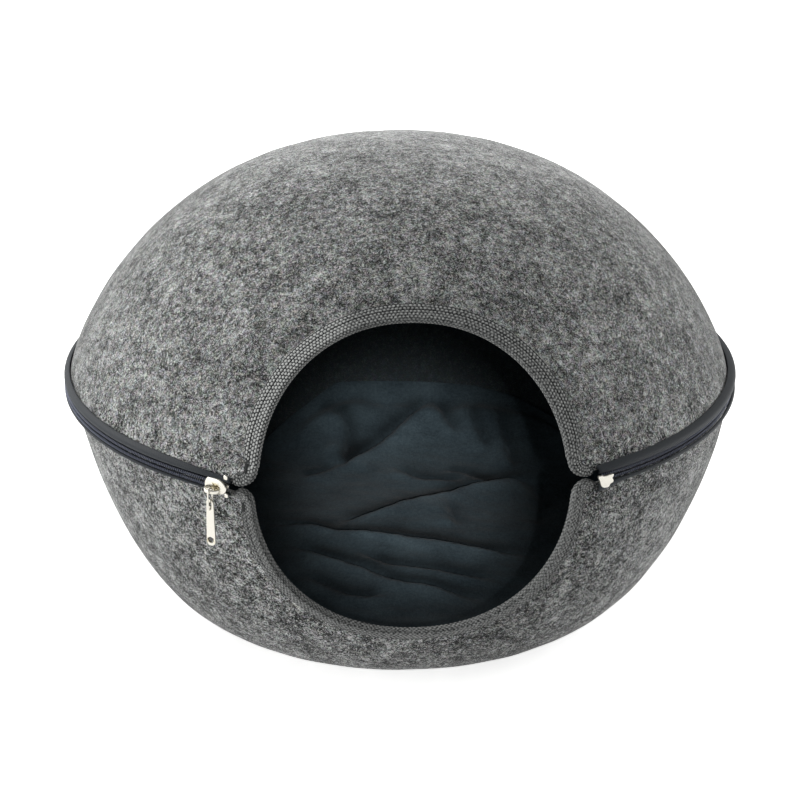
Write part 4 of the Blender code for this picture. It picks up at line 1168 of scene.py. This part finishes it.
def plush_mat():
    """Pad, air, one subdivision, then creases on the upper face, fading towards the rim."""
    points, quads = mat_pad(MAT_CELLS, MAT_SPARE)
    made = mesh_piece("plush_mat_pile", points, quads, plush, middle=(0, 0, 0.02))
    swell(made, 4.0, 4 * MM)
    finer = made.modifiers.new("finer", "SUBSURF")
    finer.levels = finer.render_levels = 1
    apply_all(made)
    made.data.shade_smooth()
    points = mesh_points(made)
    x, y, z = points.T
    around = np.arctan2(x, -y)
    r = np.hypot(x, y) / mat_reach(around)
    upper_face = smooth_step((z - mat_top(x, y) + 11 * MM) / (7 * MM)) * (r < 1.05)
    fade = 1 - smooth_step((r - 0.84) / 0.13)
    rumple = 1.0 * MM * waves(points, 46 * MM, 11) + 0.35 * MM * waves(points, 15 * MM, 12)
    relief, shade = crease_relief(x, y)
    z = z + upper_face * (fade * relief + (0.25 + 0.75 * fade) * rumple)
    # the creases' painted shade and light go to the material as the attribute shade
    pile = made.data.attributes.new("shade", "FLOAT", "POINT")
    pile.data.foreach_set("value", (1 + (shade - 1) * upper_face).astype(np.float32))
    # keep clear of the felt below and beside
    turn = turn_at_rise(LOWER, np.clip(SEAM_HEIGHT - z, 0, None))
    limit = wall_radius(LOWER, turn) - MAT_UNDER - WAVE
    flat = np.hypot(x - lean_at(LOWER, turn), y)
    shrink = np.minimum(1.0, limit / np.maximum(flat, 1e-9))
    set_points(made, np.stack([x * shrink, y * shrink, np.maximum(z, MAT_UNDER)], -1))
    return made


def plush_finish(name, dark_hex, light_hex):
    """Short pile: soft shading by sheen, with tufts that lean a little, shown by a fine bump.

    The creases' painted shade and light multiply the colour.
    """
    made, tree, shader = material(name, Roughness=0.9, Sheen_Weight=0.12, Sheen_Roughness=0.4,
                                  Specular_IOR_Level=0.1)
    shade = node(tree, "Attribute", attribute_name="shade").outputs["Fac"]
    place = node(tree, "TexCoord").outputs["Object"]
    nap = node(tree, "TexNoise", {"Vector": place, "Scale": 520.0, "Detail": 4.0,
                                  "Roughness": 0.7}).outputs[0]
    cloud = node(tree, "TexNoise", {"Vector": place, "Scale": 38.0, "Detail": 3.0}).outputs[0]
    both = node(tree, "Math", {0: nap, 1: cloud}, operation="ADD").outputs[0]
    share = node(tree, "MapRange", {0: both, 1: 0.72, 2: 1.28}).outputs[0]
    slate = node(tree, "Mix", {0: share, FIRST: linear(dark_hex), SECOND: linear(light_hex)},
                 data_type="RGBA").outputs[MIXED]
    # the creases' painted shade and light, multiplied into the slate
    colour = node(tree, "Mix", {0: 1.0, FIRST: slate, SECOND: shade}, data_type="RGBA",
                  blend_type="MULTIPLY").outputs[MIXED]
    bump = node(tree, "Bump", {"Height": nap, "Distance": 0.8 * MM, "Strength": 0.7})
    tree.links.new(colour, shader.inputs["Base Color"])
    tree.links.new(bump.outputs[0], shader.inputs["Normal"])
    return made


plush = plush_finish("dark slate plush", "37434a", "536269")
mat = plush_mat()

# %% [markdown]
# ## Stage and light
#
# A white table lit from below, three soft boxes, a narrow beam through the doorway and the
# even light of a tent.  The table is not seen by bounced light, so that the cave's underside
# stays as dim as over a dark one.

# %% Floor and lights
floor_white, _, _ = material("white table lit from below", Base_Color=linear("f6f6f4"),
                             Roughness=0.9, Specular_IOR_Level=0.1,
                             Emission_Color=(1.0, 1.0, 1.0, 1.0), Emission_Strength=0.75)
FLOOR_HALF = 12.0                     # metres, so that no view sees its edge
floor_mesh = bpy.data.meshes.new("floor")
floor_mesh.from_pydata([(x * FLOOR_HALF, y * FLOOR_HALF, -0.2 * MM) for x, y in
                        ((-1, -1), (1, -1), (1, 1), (-1, 1))], [], [(0, 1, 2, 3)])
floor_mesh.materials.append(floor_white)
floor = bpy.data.objects.new("floor", floor_mesh)
bpy.context.scene.collection.objects.link(floor)
floor.visible_diffuse = False

world = bpy.data.worlds.new("light tent")
bpy.context.scene.world = world
world.use_nodes = True
tent = world.node_tree.nodes["Background"].inputs
tent["Color"].default_value = (1.0, 1.0, 1.0, 1.0)
tent["Strength"].default_value = 0.385
Lamp = namedtuple("Lamp", "name place size share")
# where each soft box hangs, in metres, its side, and the share of a white card's brightness
# that it gives a card which faces it at the cave
LAMPS = (Lamp("soft box low at the left", (-2.2, -0.8, 0.5), 1.4, 0.56),
         Lamp("soft box at the right", (2.0, 0.8, 0.7), 1.2, 0.56),
         Lamp("soft box behind on the left", (-1.6, 1.4, 1.6), 1.2, 0.68))


def put_light(light, place, towards):
    """A light at this place, with its back along this direction."""
    made = bpy.data.objects.new(light.name, light)
    made.location = place
    made.rotation_mode = "QUATERNION"
    made.rotation_quaternion = towards.to_track_quat("Z", "Y")
    bpy.context.scene.collection.objects.link(made)


for lamp in LAMPS:
    light = bpy.data.lights.new(lamp.name, "AREA")
    light.size = lamp.size
    towards = Vector(lamp.place) - AIM
    light.energy = lamp.share * math.pi ** 2 * towards.length_squared
    put_light(light, lamp.place, towards)
# a narrow beam with a soft edge through the doorway, so that the dark inside shows its form
beam = bpy.data.lights.new("snoot on the mat", "SPOT")
beam.spot_size, beam.spot_blend, beam.shadow_soft_size = math.radians(4.5), 1.0, 0.02
BEAM_PLACE, BEAM_END, BEAM_SHARE = Vector((0.0, -2.1, 0.92)), Vector((0.006, -0.19, 0.140)), 0.85
towards = BEAM_PLACE - BEAM_END
beam.energy = BEAM_SHARE * 4 * math.pi ** 2 * towards.length_squared
put_light(beam, BEAM_PLACE, towards)
bpy.context.scene.view_settings.view_transform = "Standard"
print("floor", 2 * FLOOR_HALF, "m wide; lights:", [lamp.name for lamp in LAMPS])

# %% [markdown]
# ## Which body, node and finish each piece stands for
#
# Every piece rides on the one body and stands in for its plain solid, which is hidden.

DRESSED = (
    (upper_felt, "felt", ["upper_shell"]), (lower_felt, "felt", ["lower_shell"]),
    (upper_binding, "knit_binding", ["binding_upper"]),
    (lower_binding, "knit_binding", ["binding_lower"]),
    (upper_tape, "zip_tape", ["zip_tape_upper"]), (lower_tape, "zip_tape", ["zip_tape_lower"]),
    (upper_coil, "nylon_coil", ["zip_coil_upper"]), (lower_coil, "nylon_coil", ["zip_coil_lower"]),
    (slider, "cast_metal", ["zip_slider"]), (link, "cast_metal", ["zip_pull_link"]),
    (pull, "cast_metal", ["zip_pull"]), (upper_stop, "cast_metal", ["zip_stop_upper"]),
    (lower_stop, "cast_metal", ["zip_stop_lower"]), (end_block, "cast_metal", ["zip_end_block"]),
    (mat, "plush", ["plush_mat"]),
)
for piece, slot, nodes in DRESSED:
    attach(piece, "root")
    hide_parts(*nodes)
